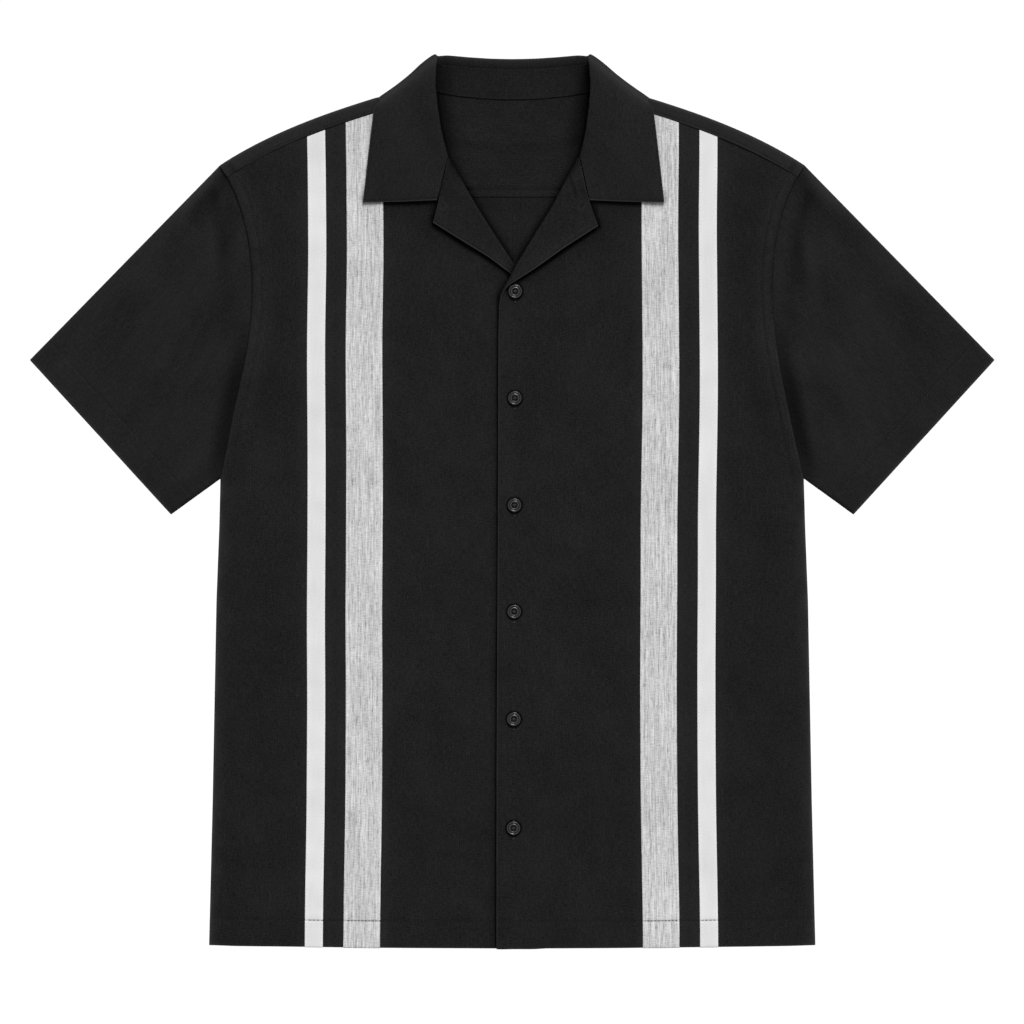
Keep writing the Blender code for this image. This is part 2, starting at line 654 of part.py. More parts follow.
def button_mesh(cutters):
    """A four-hole button with a raised rim: a turned profile with the holes cut through."""
    profile = bpy.data.meshes.new("button_profile")
    points = [(radius * MM, 0.0, height * MM) for radius, height in BUTTON_PROFILE]
    profile.from_pydata(points, [(i, i + 1) for i in range(len(points) - 1)], [])
    turned = bpy.data.objects.new("button_blank", profile)
    cutters.objects.link(turned)
    screw = turned.modifiers.new("Turn", "SCREW")
    screw.steps = screw.render_steps = BUTTON_STEPS
    screw.use_merge_vertices = True
    screw.merge_threshold = 0.00001
    punch = bpy.data.meshes.new("button_punch")
    shape = bmesh.new()
    for quarter in range(4):
        angle = pi / 4 + quarter * pi / 2
        made = bmesh.ops.create_cone(
            shape,
            cap_ends=True,
            segments=BUTTON_HOLE_STEPS,
            radius1=BUTTON_HOLE_RADIUS * MM,
            radius2=BUTTON_HOLE_RADIUS * MM,
            depth=4 * BUTTON_RADIUS * MM,
        )
        centre = Vector((BUTTON_HOLE_REACH * cos(angle), BUTTON_HOLE_REACH * sin(angle), 0.0)) * MM
        bmesh.ops.translate(shape, verts=made["verts"], vec=centre)
    shape.to_mesh(punch)
    shape.free()
    cutter = bpy.data.objects.new("button_holes", punch)
    cutters.objects.link(cutter)
    for helper in (turned, cutter):
        helper.hide_render = True
        helper.display_type = "WIRE"
    cut = turned.modifiers.new("Holes", "BOOLEAN")
    cut.operation = "DIFFERENCE"
    cut.object = cutter
    bpy.context.view_layer.update()
    finished = turned.evaluated_get(bpy.context.evaluated_depsgraph_get())
    mesh = bpy.data.meshes.new_from_object(finished)
    mesh.name = "button"
    mesh.shade_smooth()
    mesh.set_sharp_from_angle(angle=radians(40))
    bpy.data.objects.remove(turned)
    bpy.data.objects.remove(cutter)
    return mesh


def make_buttons(height, collection, cutters, finish):
    """Six buttons down the overlapping front, each on the slope of the cloth under it."""
    mesh = button_mesh(cutters)
    mesh.materials.append(finish)
    rim = [(cos(pi * i / 4) * BUTTON_RADIUS, sin(pi * i / 4) * BUTTON_RADIUS) for i in range(8)]
    for number, x in enumerate(BUTTON_X, start=1):
        y = BUTTON_TOP_Y - BUTTON_PITCH * (number - 1)
        east = (height(x + BUTTON_RADIUS, y) - height(x - BUTTON_RADIUS, y)) / (2 * BUTTON_RADIUS)
        north = (height(x, y + BUTTON_RADIUS) - height(x, y - BUTTON_RADIUS)) / (2 * BUTTON_RADIUS)
        seat = max(height(x + i, y + j) - east * i - north * j for i, j in [(0.0, 0.0), *rim])
        button = bpy.data.objects.new(f"button_{number}", mesh)
        collection.objects.link(button)
        button.location = Vector((x, y, seat + CLOTH / 2 + GAP)) * MM
        button.rotation_euler = (atan(north), -atan(east), 0.0)


def main():
    for old in list(bpy.data.objects):
        bpy.data.objects.remove(old)
    shirt = bpy.data.collections.new("camp_collar_shirt")
    cutters = bpy.data.collections.new("cutters")
    for collection in (shirt, cutters):
        bpy.context.scene.collection.children.link(collection)
    black = material("Black slub cloth", BLACK_CLOTH, 0.9)
    white = material("White cloth", WHITE_CLOTH, 0.85)
    grey = material("Grey slub cloth", GREY_CLOTH, 0.85)
    plastic = material("Black button plastic", BLACK_PLASTIC, 0.4)

    make_back(shirt, black)
    make_yoke(shirt, black)
    make_front("front_left", 1, FRONT_EDGE_X, left_front_height, shirt, black)
    make_front("front_right", -1, UNDER_EDGE_X, front_height, shirt, black)
    make_lapel("lapel_left", 1, LAPEL, left_front_height, shirt, black)
    make_lapel("lapel_right", -1, LAPEL[:LAPEL_UNDER], front_height, shirt, black)
    make_collar(shirt, black)
    for side_name, side in (("left", 1), ("right", -1)):
        make_sleeve(f"sleeve_{side_name}", side, shirt, black)
        make_stripes(side_name, side, front_height, shirt, {"grey": grey, "white": white})
    make_buttons(left_front_height, shirt, cutters, plastic)


main()
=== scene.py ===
"""Dresses the camp collar shirt: cloth with its folds, hems, creases and stitches, and its buttons.

Everything is in the row's frame, +X the wearer's left and +Y from the hem to the collar. Sizes here
are in millimetres and become metres as each mesh is made.
"""

import logging
from collections.abc import Iterable
from dataclasses import dataclass, field, replace
from enum import Enum
from math import cos, pi, radians, sin

import bpy
import numpy as np
from bpy.types import ID, Material, Node, NodeSocket, NodeTree, Object
from mathutils import Matrix


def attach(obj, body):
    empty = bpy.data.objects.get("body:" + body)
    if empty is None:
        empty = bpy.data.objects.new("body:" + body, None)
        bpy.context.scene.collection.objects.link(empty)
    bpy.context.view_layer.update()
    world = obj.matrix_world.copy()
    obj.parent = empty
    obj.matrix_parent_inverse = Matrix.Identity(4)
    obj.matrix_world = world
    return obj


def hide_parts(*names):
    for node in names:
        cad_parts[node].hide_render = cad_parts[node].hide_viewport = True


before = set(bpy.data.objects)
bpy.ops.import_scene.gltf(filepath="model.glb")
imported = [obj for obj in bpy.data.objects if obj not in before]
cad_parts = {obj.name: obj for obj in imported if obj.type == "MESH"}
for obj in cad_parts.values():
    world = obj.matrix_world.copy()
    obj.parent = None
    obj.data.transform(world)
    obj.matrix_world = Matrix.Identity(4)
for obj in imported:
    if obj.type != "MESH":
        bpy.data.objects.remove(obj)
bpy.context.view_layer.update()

Array = np.ndarray
log = logging.getLogger("camp_collar_shirt")

MM = 0.001
BODY = "root"
UV_NAME = "Grain"
# The mesh attribute of painted light: above 0 a painted highlight, below 0 painted shade.
PAINTED_LIGHT_NAME = "Rub"

CLOTH = 0.42  # wall of one ply
PRESSED = 0.25  # radius of a pressed fold, to the middle of the ply
OUTER = 0.27  # the outer ply lies this far outside the middle of its layer
FACE = OUTER + CLOTH / 2  # from the middle of a layer to its face
PLY = 1.3  # from one layer to the next
TURN = 1.6  # between the two layers of a soft fold
# The stack of layers from the floor up, as the height of each one's middle
FLOOR = 0.5
SLEEVE_UNDER = FLOOR + PLY
SLEEVE_OVER = SLEEVE_UNDER + TURN
FRONT = SLEEVE_OVER + PLY
LEAF = FRONT + PLY + TURN
WRAP = pi * PRESSED
EDGE_INSET = PRESSED + CLOTH / 2  # from a pressed edge to the centre of its fold


class Side(Enum):
    """The wearer's side a piece is on; the value is the sign of its x."""

    LEFT = 1
    RIGHT = -1

    @property
    def word(self) -> str:
        """The side's name as it is used in names of pieces."""
        return self.name.lower()


def lerp(a: Array | float, b: Array | float, t: Array | float) -> Array:
    """The value a share t of the way from a to b."""
    return a + (b - a) * t


def ease(t: Array | float) -> Array:
    """A smooth step from 0 at t = 0 to 1 at t = 1."""
    t = np.clip(t, 0.0, 1.0)
    return t * t * (3 - 2 * t)


def between(low: float, high: float, value: Array | float) -> Array:
    """How far a value is from low to high, eased."""
    return ease((value - low) / (high - low))


def bell(distance: Array | float, width: float) -> Array:
    """A bell curve of height 1 that has mostly faded at a distance of one width."""
    return np.exp(-2.0 * (distance / width) ** 2)


def turned(s: Array, radius: float = PRESSED) -> tuple[Array, Array]:
    """Follows cloth that turns under at an edge.

    Args:
        s: distance along the cloth, from where the fold starts; below 0 it has turned under.
        radius: of the fold, to the middle of the ply.

    Returns:
        How far in from the fold's centre the cloth is, and how far below its face.
    """
    angle = np.clip(-s / radius, 0.0, pi)
    inward = np.where(s >= 0, s, np.maximum(-s - pi * radius, 0.0)) - radius * np.sin(angle)
    return inward, radius * (1 - np.cos(angle))


def stations(start: float, *stretches: tuple[float, float]) -> Array:
    """Positions along a line.

    Args:
        start: the first position.
        stretches: where each stretch ends, and the step up to there.

    Returns:
        All the positions in rising order.
    """
    made = [np.array([start])]
    for end, step in stretches:
        begin = made[-1][-1]
        count = max(1, round((end - begin) / step))
        made.append(np.linspace(begin, end, count + 1)[1:])
    return np.concatenate(made)


def bezier(points: Iterable[tuple[float, float]], t: Array) -> tuple[Array, Array]:
    """A Bezier curve of any degree at the parameters t, by de Casteljau's rule.

    Args:
        points: its control points, x and y.
        t: from 0 to 1.

    Returns:
        x and y at each t.
    """
    rows = [(np.full_like(t, x), np.full_like(t, y)) for x, y in points]
    while len(rows) > 1:
        rows = [(lerp(p[0], q[0], t), lerp(p[1], q[1], t)) for p, q in zip(rows, rows[1:])]
    return rows[0]


def shade_falloff(distance: Array, full: float | Array, reach: float | Array) -> Array:
    """The strength of painted shade near an edge: 1 up to the distance full, and 0 beyond its reach."""
    return 1 - ease((distance - full) / (reach - full))


def distance_to(line: Array, x: Array, y: Array) -> Array:
    """The distance from each point to a line of many points, given as rows of x and y.

    Args:
        line: rows of x and y.
        x, y: the points.

    Returns:
        The distance from each point to the line.
    """
    nearest = np.full(np.broadcast(x, y).shape, np.inf)
    for (x0, y0), (x1, y1) in zip(line, line[1:]):
        run = max((x1 - x0) ** 2 + (y1 - y0) ** 2, 1e-9)
        share = np.clip(((x - x0) * (x1 - x0) + (y - y0) * (y1 - y0)) / run, 0.0, 1.0)
        nearest = np.minimum(nearest, np.hypot(x - lerp(x0, x1, share), y - lerp(y0, y1, share)))
    return nearest


def ripple(x: Array, y: Array, length: float, seed: int) -> Array:
    """An uneven undulation of about -1 to 1 whose waves are about that long.

    Args:
        x, y: the points.
        length: of a typical wave.
        seed: of the draws.

    Returns:
        Its height at each point.
    """
    draw = np.random.default_rng(seed)
    total = np.zeros(np.broadcast(x, y).shape)
    for _ in range(7):
        angle, phase = draw.uniform(0.0, 2 * pi, 2)
        wave = length * draw.uniform(0.7, 1.6)
        total += np.sin(2 * pi * (x * cos(angle) + y * sin(angle)) / wave + phase)
    return total / 3.0


@dataclass(frozen=True)
class Crease:
    """A soft trough or ridge that bows and fades out at both ends.

    Attributes:
        start: where it begins, x and y.
        end: where it ends.
        width: half width on its steep side.
        lift: height of its middle, below 0 for a trough.
        bow: how far its middle strays to the left of the straight line.
        lean: how much wider its other side is.
    """

    start: tuple[float, float]
    end: tuple[float, float]
    width: float
    lift: float
    bow: float = 0.0
    lean: float = 1.5

    def height(self, x: Array, y: Array) -> Array:
        """What the crease adds to the cloth's height at each point.

        Args:
            x, y: the points.

        Returns:
            The height at each.
        """
        run = np.subtract(self.end, self.start)
        length = float(np.hypot(*run))
        ahead = run / length
        east, north = x - self.start[0], y - self.start[1]
        share = (east * ahead[0] + north * ahead[1]) / length
        across = north * ahead[0] - east * ahead[1] - self.bow * np.sin(pi * np.clip(share, 0, 1))
        width = np.where(across > 0, self.width, self.width * self.lean)
        ends = between(-0.2, 0.25, share) * between(1.2, 0.6, share)
        return self.lift * np.exp(-2.0 * (across / width) ** 2) * ends


def relief(creases: Iterable[Crease], x: Array, y: Array) -> Array:
    """The sum of several creases."""
    return sum((crease.height(x, y) for crease in creases), np.zeros(np.broadcast(x, y).shape))


@dataclass(frozen=True)
class BodyPattern:
    """The outline of the body, for x towards the side.

    Attributes:
        hem_centre: y of the hem at the centre.
        hem_rise: how much higher it is at the side.
        hem_half: |x| there.
        side_seam: y and x from the hem up to the underarm.
        armhole_curve: control points from the shoulder's tip to the underarm.
        shoulder_curve: control points of the shoulder's fold, outside its straight start.
        neck_point: where that fold meets the neck.
        back_seam: y of the seam between yoke and back.
        yoke_forward: how far the yoke laps over the front of the shoulder.
        side_rounding: how far in from the side the front comes down to the back.
    """

    hem_centre: float = -388.75
    hem_rise: float = 2.8
    hem_half: float = 263.9
    side_seam: tuple = ((-386.0, 263.9), (-260.0, 260.8), (-86.0, 257.5), (20.0, 253.4))
    armhole_curve: tuple = ((254.5, 292.2), (204.4, 217.8), (232.4, 105.0), (253.4, 20.0))
    shoulder_curve: tuple = ((118.0, 351.2), (205.0, 325.4), (254.5, 292.2))
    neck_point: tuple = (74.4, 360.2)
    back_seam: float = 265.2
    yoke_forward: float = 12.6
    side_rounding: float = 25.0

    @property
    def underarm(self) -> float:
        """Height of the underarm point."""
        return self.side_seam[-1][0]

    @property
    def tip(self) -> tuple[float, float]:
        """The shoulder's tip, where yoke and sleeve meet on the fold."""
        return self.armhole_curve[0]

    def hem(self, x: Array) -> Array:
        """The hem's edge."""
        return self.hem_centre + self.hem_rise * (np.minimum(np.abs(x), self.hem_half) / self.hem_half) ** 2

    def armhole(self, share: Array) -> tuple[Array, Array]:
        """The armhole from the tip, at share 0, to the underarm."""
        return bezier(self.armhole_curve, share)

    def from_armhole(self, x: Array, y: Array) -> Array:
        """The distance from each point to the armhole."""
        return distance_to(np.stack(self.armhole(np.linspace(0.0, 1.0, 40)), -1), x, y)

    def half_width(self, y: Array) -> Array:
        """The body's half width: the side seam, and above the underarm the armhole.

        Args:
            y: heights up to the shoulder's tip.

        Returns:
            x of the body's edge at each.
        """
        curve_x, curve_y = self.armhole(np.linspace(0.0, 1.0, 400))
        seam_y, seam_x = zip(*self.side_seam)
        on_armhole = np.interp(y, curve_y[::-1], curve_x[::-1])
        return np.where(y > self.underarm, on_armhole, np.interp(y, seam_y, seam_x))

    def side(self, y: Array) -> Array:
        """The half width, which stays that of the shoulder's tip above it."""
        return self.half_width(np.minimum(y, self.tip[1]))

    def shoulder(self, x: Array) -> Array:
        """The shoulder's fold, from the neck point to the tip.

        Args:
            x: towards the side.

        Returns:
            y of the fold at each x.
        """
        curve_x, curve_y = bezier(self.shoulder_curve, np.linspace(0.0, 1.0, 300))
        line_x = np.concatenate([[self.neck_point[0]], curve_x])
        return np.interp(x, line_x, np.concatenate([[self.neck_point[1]], curve_y]))

    def shoulder_normal(self, x: Array) -> tuple[Array, Array]:
        """The outward unit normal of the shoulder's fold.

        Args:
            x: towards the side.

        Returns:
            Its x and y at each.
        """
        low = np.clip(x - 2.0, self.neck_point[0], self.tip[0])
        high = np.clip(x + 2.0, self.neck_point[0], self.tip[0])
        east, north = high - low, self.shoulder(high) - self.shoulder(low)
        length = np.hypot(east, north)
        return -north / length, east / length

    def yoke_seam(self, x: Array) -> Array:
        """The yoke's seam on the front of the shoulder."""
        return self.shoulder(x) - self.yoke_forward / self.shoulder_normal(x)[1]


PATTERN = BodyPattern()
HEM_DEPTH = 23.5
STITCH_GROOVE = 0.28  # how deep a row of stitches pulls the cloth in
ARMHOLE_STITCH = 8.2  # from the armhole seam to the row of stitches beside it
FACING_STITCH = 17.2  # x of the row that holds the left front's facing
YOKE_STITCH = 272.6  # y of the row beside the yoke's seam, seen inside the neck
PLEAT_RAMP = (18.5, 32.0)  # |x| where the back climbs on to its box pleat


def armhole_slant(y: Array) -> Array:
    """How much wider than square across the armhole's seam allowance is along x."""
    return 1 + 0.2 * between(150.0, 290.0, y)


def beside_lap(x: Array) -> Array:
    """1 where one front's edge laps over the other, easing to 0 towards the side."""
    return 1 - between(18.0, 32.0, x)


def on_pleat(x: Array) -> Array:
    """1 on the box pleat, easing to 0 where the back climbs on to it."""
    return 1 - between(*PLEAT_RAMP, np.abs(x))


def both(half: Array, sign: float = 1.0) -> Array:
    """A half that starts at the centre, and its mirror image, as one row of columns."""
    return np.concatenate([sign * half[:0:-1], half])


def with_length(x: Array, y: Array) -> tuple[Array, Array]:
    """How far along a line of points each one is, and the length of the line."""
    distance = np.concatenate([[0.0], np.cumsum(np.hypot(np.diff(x), np.diff(y)))])
    return distance, distance[-1]


def srgb(code: str) -> tuple[float, float, float, float]:
    """A colour written as six hex digits in sRGB, as linear values."""
    parts = [int(code[i : i + 2], 16) / 255 for i in (0, 2, 4)]
    return (*(c / 12.92 if c <= 0.04045 else ((c + 0.055) / 1.055) ** 2.4 for c in parts), 1.0)


def add_node(
    tree: NodeTree, kind: str, settings: dict | None = None, inputs: dict | None = None
) -> Node:
    """Adds a node.

    Args:
        tree: the material's or world's nodes.
        kind: the node's type.
        settings: its properties by name.
        inputs: its inputs by name or number, each a value or the socket that feeds it.

    Returns:
        The node.
    """
    node = tree.nodes.new(kind)
    for name, value in (settings or {}).items():
        setattr(node, name, value)
    for name, value in (inputs or {}).items():
        if isinstance(value, NodeSocket):
            tree.links.new(value, node.inputs[name])
        else:
            node.inputs[name].default_value = value
    return node


RGBA_MIX = {"data_type": "RGBA", "clamp_factor": True}  # a Mix node's inputs 6 and 7 are then its colours


def new_material(name: str) -> tuple[Material, NodeTree, Node]:
    """Starts a material.

    Args:
        name: of the real material.

    Returns:
        The material, its nodes and its shader.
    """
    made = bpy.data.materials.new(name)
    made.use_nodes = True
    return made, made.node_tree, made.node_tree.nodes["Principled BSDF"]


@dataclass(frozen=True)
class YarnLayer:
    """One pattern of yarns in a weave.

    Attributes:
        across: its usual width along the weft, in mm.
        along: its usual length along the warp, in mm.
        weight: how strongly it shows; below 0 it darkens.
        detail: octaves of finer variation.
        start: the share of the pattern that stays plain, for scattered slubs.
    """

    across: float
    along: float
    weight: float
    detail: float = 2.0
    start: float = 0.0


@dataclass(frozen=True, kw_only=True)
class Finish:
    """What every finish has.

    Attributes:
        name: of the real material.
        slot: the record's material slot; not used.
        highlight_colour: its colour where a highlight is painted on, if it has one.
        roughness, specular: of its surface.
        bump: how much its grain stands out.
        relief: how high its grain is, in metres.
    """

    name: str
    slot: str
    highlight_colour: str = ""
    roughness: float
    specular: float
    bump: float
    relief: float = 0.0001

    def surface(
        self,
        tree: NodeTree,
        shader: Node,
        colour: NodeSocket,
        height: NodeSocket,
    ) -> None:
        """Feeds the shader.

        Args:
            tree: the material's nodes.
            shader: its shader.
            colour: what gives its colour.
            height: what gives its grain.
        """
        tree.links.new(colour, shader.inputs["Base Color"])
        shader.inputs["Roughness"].default_value = self.roughness
        shader.inputs["Specular IOR Level"].default_value = self.specular
        grain = {"Height": height, "Strength": self.bump, "Distance": self.relief}
        bump = add_node(tree, "ShaderNodeBump", {}, grain)
        tree.links.new(bump.outputs["Normal"], shader.inputs["Normal"])


@dataclass(frozen=True, kw_only=True)
class ClothFinish(Finish):
    """A woven cloth: its yarns as anisotropic noise on the flat pattern, in real millimetres.

    Attributes:
        dark, light: its darkest and lightest yarns.
        painted_shade: its colour where shade is painted on.
        yarns: its patterns.
    """

    dark: str
    light: str
    painted_shade: str
    yarns: tuple[YarnLayer, ...]
    relief: float = 0.0003

    def weave(self, tree: NodeTree) -> NodeSocket:
        """Adds the nodes for the yarns.

        Args:
            tree: the material's nodes.

        Returns:
            How light the weave is, and how high, about 0.5 in the middle.
        """
        grain = add_node(tree, "ShaderNodeUVMap", {"uv_map": UV_NAME}).outputs["UV"]
        level: NodeSocket | float = 0.5
        for yarn in self.yarns:
            scale = (1 / (yarn.across * MM), 1 / (yarn.along * MM), 1.0)
            place = add_node(tree, "ShaderNodeMapping", {}, {"Vector": grain, "Scale": scale})
            inputs = {"Vector": place.outputs["Vector"], "Scale": 1.0, "Detail": yarn.detail}
            part = add_node(tree, "ShaderNodeTexNoise", {"noise_dimensions": "2D"}, inputs).outputs["Fac"]
            if yarn.start:
                slubs = {"operation": "SUBTRACT", "use_clamp": True}
                part = add_node(tree, "ShaderNodeMath", slubs, {0: part, 1: yarn.start}).outputs[0]
            middle = {0: part, 1: 0.0 if yarn.start else 0.5}
            centred = add_node(tree, "ShaderNodeMath", {"operation": "SUBTRACT"}, middle).outputs[0]
            total = {0: centred, 1: yarn.weight, 2: level}
            level = add_node(tree, "ShaderNodeMath", {"operation": "MULTIPLY_ADD"}, total).outputs[0]
        return level

    def build(self) -> Material:
        """Makes the material, with the painted highlights and painted shade that the mesh's attribute gives.

        Returns:
            The material.
        """
        made, tree, shader = new_material(self.name)
        level = self.weave(tree)
        shades = {0: level, 6: srgb(self.dark), 7: srgb(self.light)}
        colour = add_node(tree, "ShaderNodeMix", RGBA_MIX, shades).outputs[2]
        rub = add_node(tree, "ShaderNodeAttribute", {"attribute_name": PAINTED_LIGHT_NAME}).outputs["Fac"]
        negative = {"operation": "MULTIPLY", "use_clamp": True}
        painted_shade = add_node(tree, "ShaderNodeMath", negative, {0: rub, 1: -1.0}).outputs[0]
        for amount, shade in ((rub, self.highlight_colour), (painted_shade, self.painted_shade)):
            shades = {0: amount, 6: colour, 7: srgb(shade)}
            colour = add_node(tree, "ShaderNodeMix", RGBA_MIX, shades).outputs[2]
        shader.inputs["IOR"].default_value = 1.46
        self.surface(tree, shader, colour, level)
        return made


# Viscose and linen plain weave, piece-dyed black: matt, with slubs along the warp. Its threads, about
# 0.45 mm apart, are too fine to show from here, so they are drawn about twice as coarse.
BLACK_CLOTH = ClothFinish(
    name="Black slub weave",
    slot="black_cloth",
    dark="0b0b0b",
    light="292929",
    # The highlight colour paints a sheen along folds and edges; the shade colour paints shade under collar,
    # lapels and other edges, and also darkens rows of stitches.
    highlight_colour="343434",
    painted_shade="030303",
    yarns=(
        YarnLayer(1.0, 5.0, 0.5),
        YarnLayer(4.0, 1.0, 0.5),
        YarnLayer(1.0, 1.0, 0.9, 1.0),
        YarnLayer(1.4, 22.0, 0.9, 1.0, 0.62),
        YarnLayer(46.0, 60.0, 0.26),
        YarnLayer(12.0, 16.0, 0.16),
    ),
    roughness=0.9,
    specular=0.02,
    bump=0.5,
)

# Cross-dyed slub weave, white with grey yarns: streaks along the warp, fine bars along the weft.
GREY_CLOTH = ClothFinish(
    name="Grey slub weave",
    slot="grey_cloth",
    dark="868587",
    light="e7e7e7",
    # The highlight colour paints a sheen along its turned edges; the shade colour paints shadow under the
    # collar and also darkens the hem's row of stitches.
    highlight_colour="dedede",
    painted_shade="484848",
    yarns=(
        YarnLayer(0.9, 14.0, 0.8),
        YarnLayer(1.7, 60.0, 0.6, 1.0),
        YarnLayer(5.0, 0.9, 0.55),
        YarnLayer(0.9, 0.9, 0.35, 1.0),
        YarnLayer(1.1, 9.0, -1.6, 1.0, 0.6),
        YarnLayer(40.0, 90.0, 0.2),
    ),
    roughness=0.85,
    specular=0.2,
    bump=0.4,
)

# Fine white cotton twill: almost smooth from here.
WHITE_CLOTH = ClothFinish(
    name="White twill",
    slot="white_cloth",
    dark="c8c8c8",
    light="e0e0e0",
    # The highlight colour paints a sheen along its turned edges; the shade colour paints shadow under the
    # collar and also darkens the hem's row of stitches.
    highlight_colour="f4f4f4",
    painted_shade="606060",
    yarns=(YarnLayer(0.8, 1.6, 0.5), YarnLayer(20.0, 50.0, 0.5), YarnLayer(1.4, 20.0, 0.25)),
    roughness=0.82,
    specular=0.2,
    bump=0.2,
)


@dataclass(frozen=True, kw_only=True)
class PlainFinish(Finish):
    """A finish of one colour with a fine grain in its surface.

    Attributes:
        colour, mottled: the two colours of its grain.
        grain: its size in mm.
    """

    colour: str
    mottled: str
    grain: float = 0.4

    def build(self) -> Material:
        """Makes the material, with a painted highlight where the mesh's attribute says so.

        Returns:
            The material.
        """
        made, tree, shader = new_material(self.name)
        place = add_node(tree, "ShaderNodeTexCoord").outputs["Object"]
        inputs = {"Vector": place, "Scale": 1 / (self.grain * MM), "Detail": 3.0}
        noise = add_node(tree, "ShaderNodeTexNoise", {}, inputs).outputs["Fac"]
        shades = {0: noise, 6: srgb(self.colour), 7: srgb(self.mottled)}
        tone = add_node(tree, "ShaderNodeMix", RGBA_MIX, shades).outputs[2]
        if self.highlight_colour:
            rub = add_node(tree, "ShaderNodeAttribute", {"attribute_name": PAINTED_LIGHT_NAME}).outputs["Fac"]
            shades = {0: rub, 6: tone, 7: srgb(self.highlight_colour)}
            tone = add_node(tree, "ShaderNodeMix", RGBA_MIX, shades).outputs[2]
        self.surface(tree, shader, tone, noise)
        return made


# Polyester resin, cast and tumbled to a soft gloss: near black, faintly clouded.
BUTTON_PLASTIC = PlainFinish(
    name="Cast polyester",
    slot="button_plastic",
    colour="0a0a0b",
    mottled="131314",
    # Its highlight colour is a painted reflection on the rim and the ring round the dish.
    highlight_colour="464648",
    roughness=0.24,
    specular=0.36,
    grain=1.6,
    bump=0.15,
)
# Spun polyester thread, matt with a slight shine on its twist.
BLACK_THREAD = PlainFinish(
    name="Black thread",
    slot="black_cloth",
    colour="161616",
    mottled="2c2c2c",
    roughness=0.6,
    specular=0.08,
    bump=0.5,
)
# Buttonhole twist, thicker and glazed; its lighter colour is a painted sheen.
BLACK_THREAD_SHEENED = replace(
    BLACK_THREAD, name="Buttonhole twist", colour="1e1e1e", mottled="383838", roughness=0.45, specular=0.2
)
# The same thread in white.
WHITE_THREAD = replace(
    BLACK_THREAD, name="White thread", slot="white_cloth", colour="cfcfcf", mottled="efefef", specular=0.2
)


def deselect() -> None:
    """Leaves edit mode and deselects everything, as an operator acts on all that is selected."""
    if bpy.context.object and bpy.context.object.mode != "OBJECT":
        bpy.ops.object.mode_set(mode="OBJECT")
    bpy.ops.object.select_all(action="DESELECT")


def activate(piece: Object) -> None:
    """Makes a piece the only one selected, and active.

    Args:
        piece: the piece.
    """
    deselect()
    piece.select_set(True)
    bpy.context.view_layer.objects.active = piece


def add_object(name: str, data: ID) -> Object:
    """Makes an object and puts it in the scene.

    Args:
        name: of the object.
        data: its mesh, camera or light.

    Returns:
        The object.
    """
    made = bpy.data.objects.new(name, data)
    bpy.context.scene.collection.objects.link(made)
    return made


def round_edges(piece: Object, name: str, radius: float, from_angle: float) -> None:
    """Gives a piece's edges a small radius.

    Args:
        piece: the piece.
        name: of the modifier.
        radius: in mm.
        from_angle: degrees between the faces of the bluntest edge that is rounded.
    """
    bevel = piece.modifiers.new(name, "BEVEL")
    bevel.width = radius * MM
    bevel.segments = 2
    bevel.limit_method = "ANGLE"
    bevel.angle_limit = radians(from_angle)


def apply_modifiers(piece: Object) -> None:
    """Applies a piece's modifiers in order.

    Args:
        piece: the piece.
    """
    activate(piece)
    for modifier in list(piece.modifiers):
        bpy.ops.object.modifier_apply(modifier=modifier.name)


def join_frame(
    piece: Object, finish: Material, replaced: Iterable[str] = ()
) -> None:
    """Gives a finished piece its material, hides the CAD parts it stands for and lets it ride.

    Args:
        piece: at the origin, with its place in its mesh.
        finish: its material.
        replaced: the CAD nodes it stands for.
    """
    piece.data.materials.clear()
    piece.data.materials.append(finish)
    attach(piece, BODY)
    if replaced:
        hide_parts(*replaced)
    log.info("%s: %d faces", piece.name, len(piece.data.polygons))


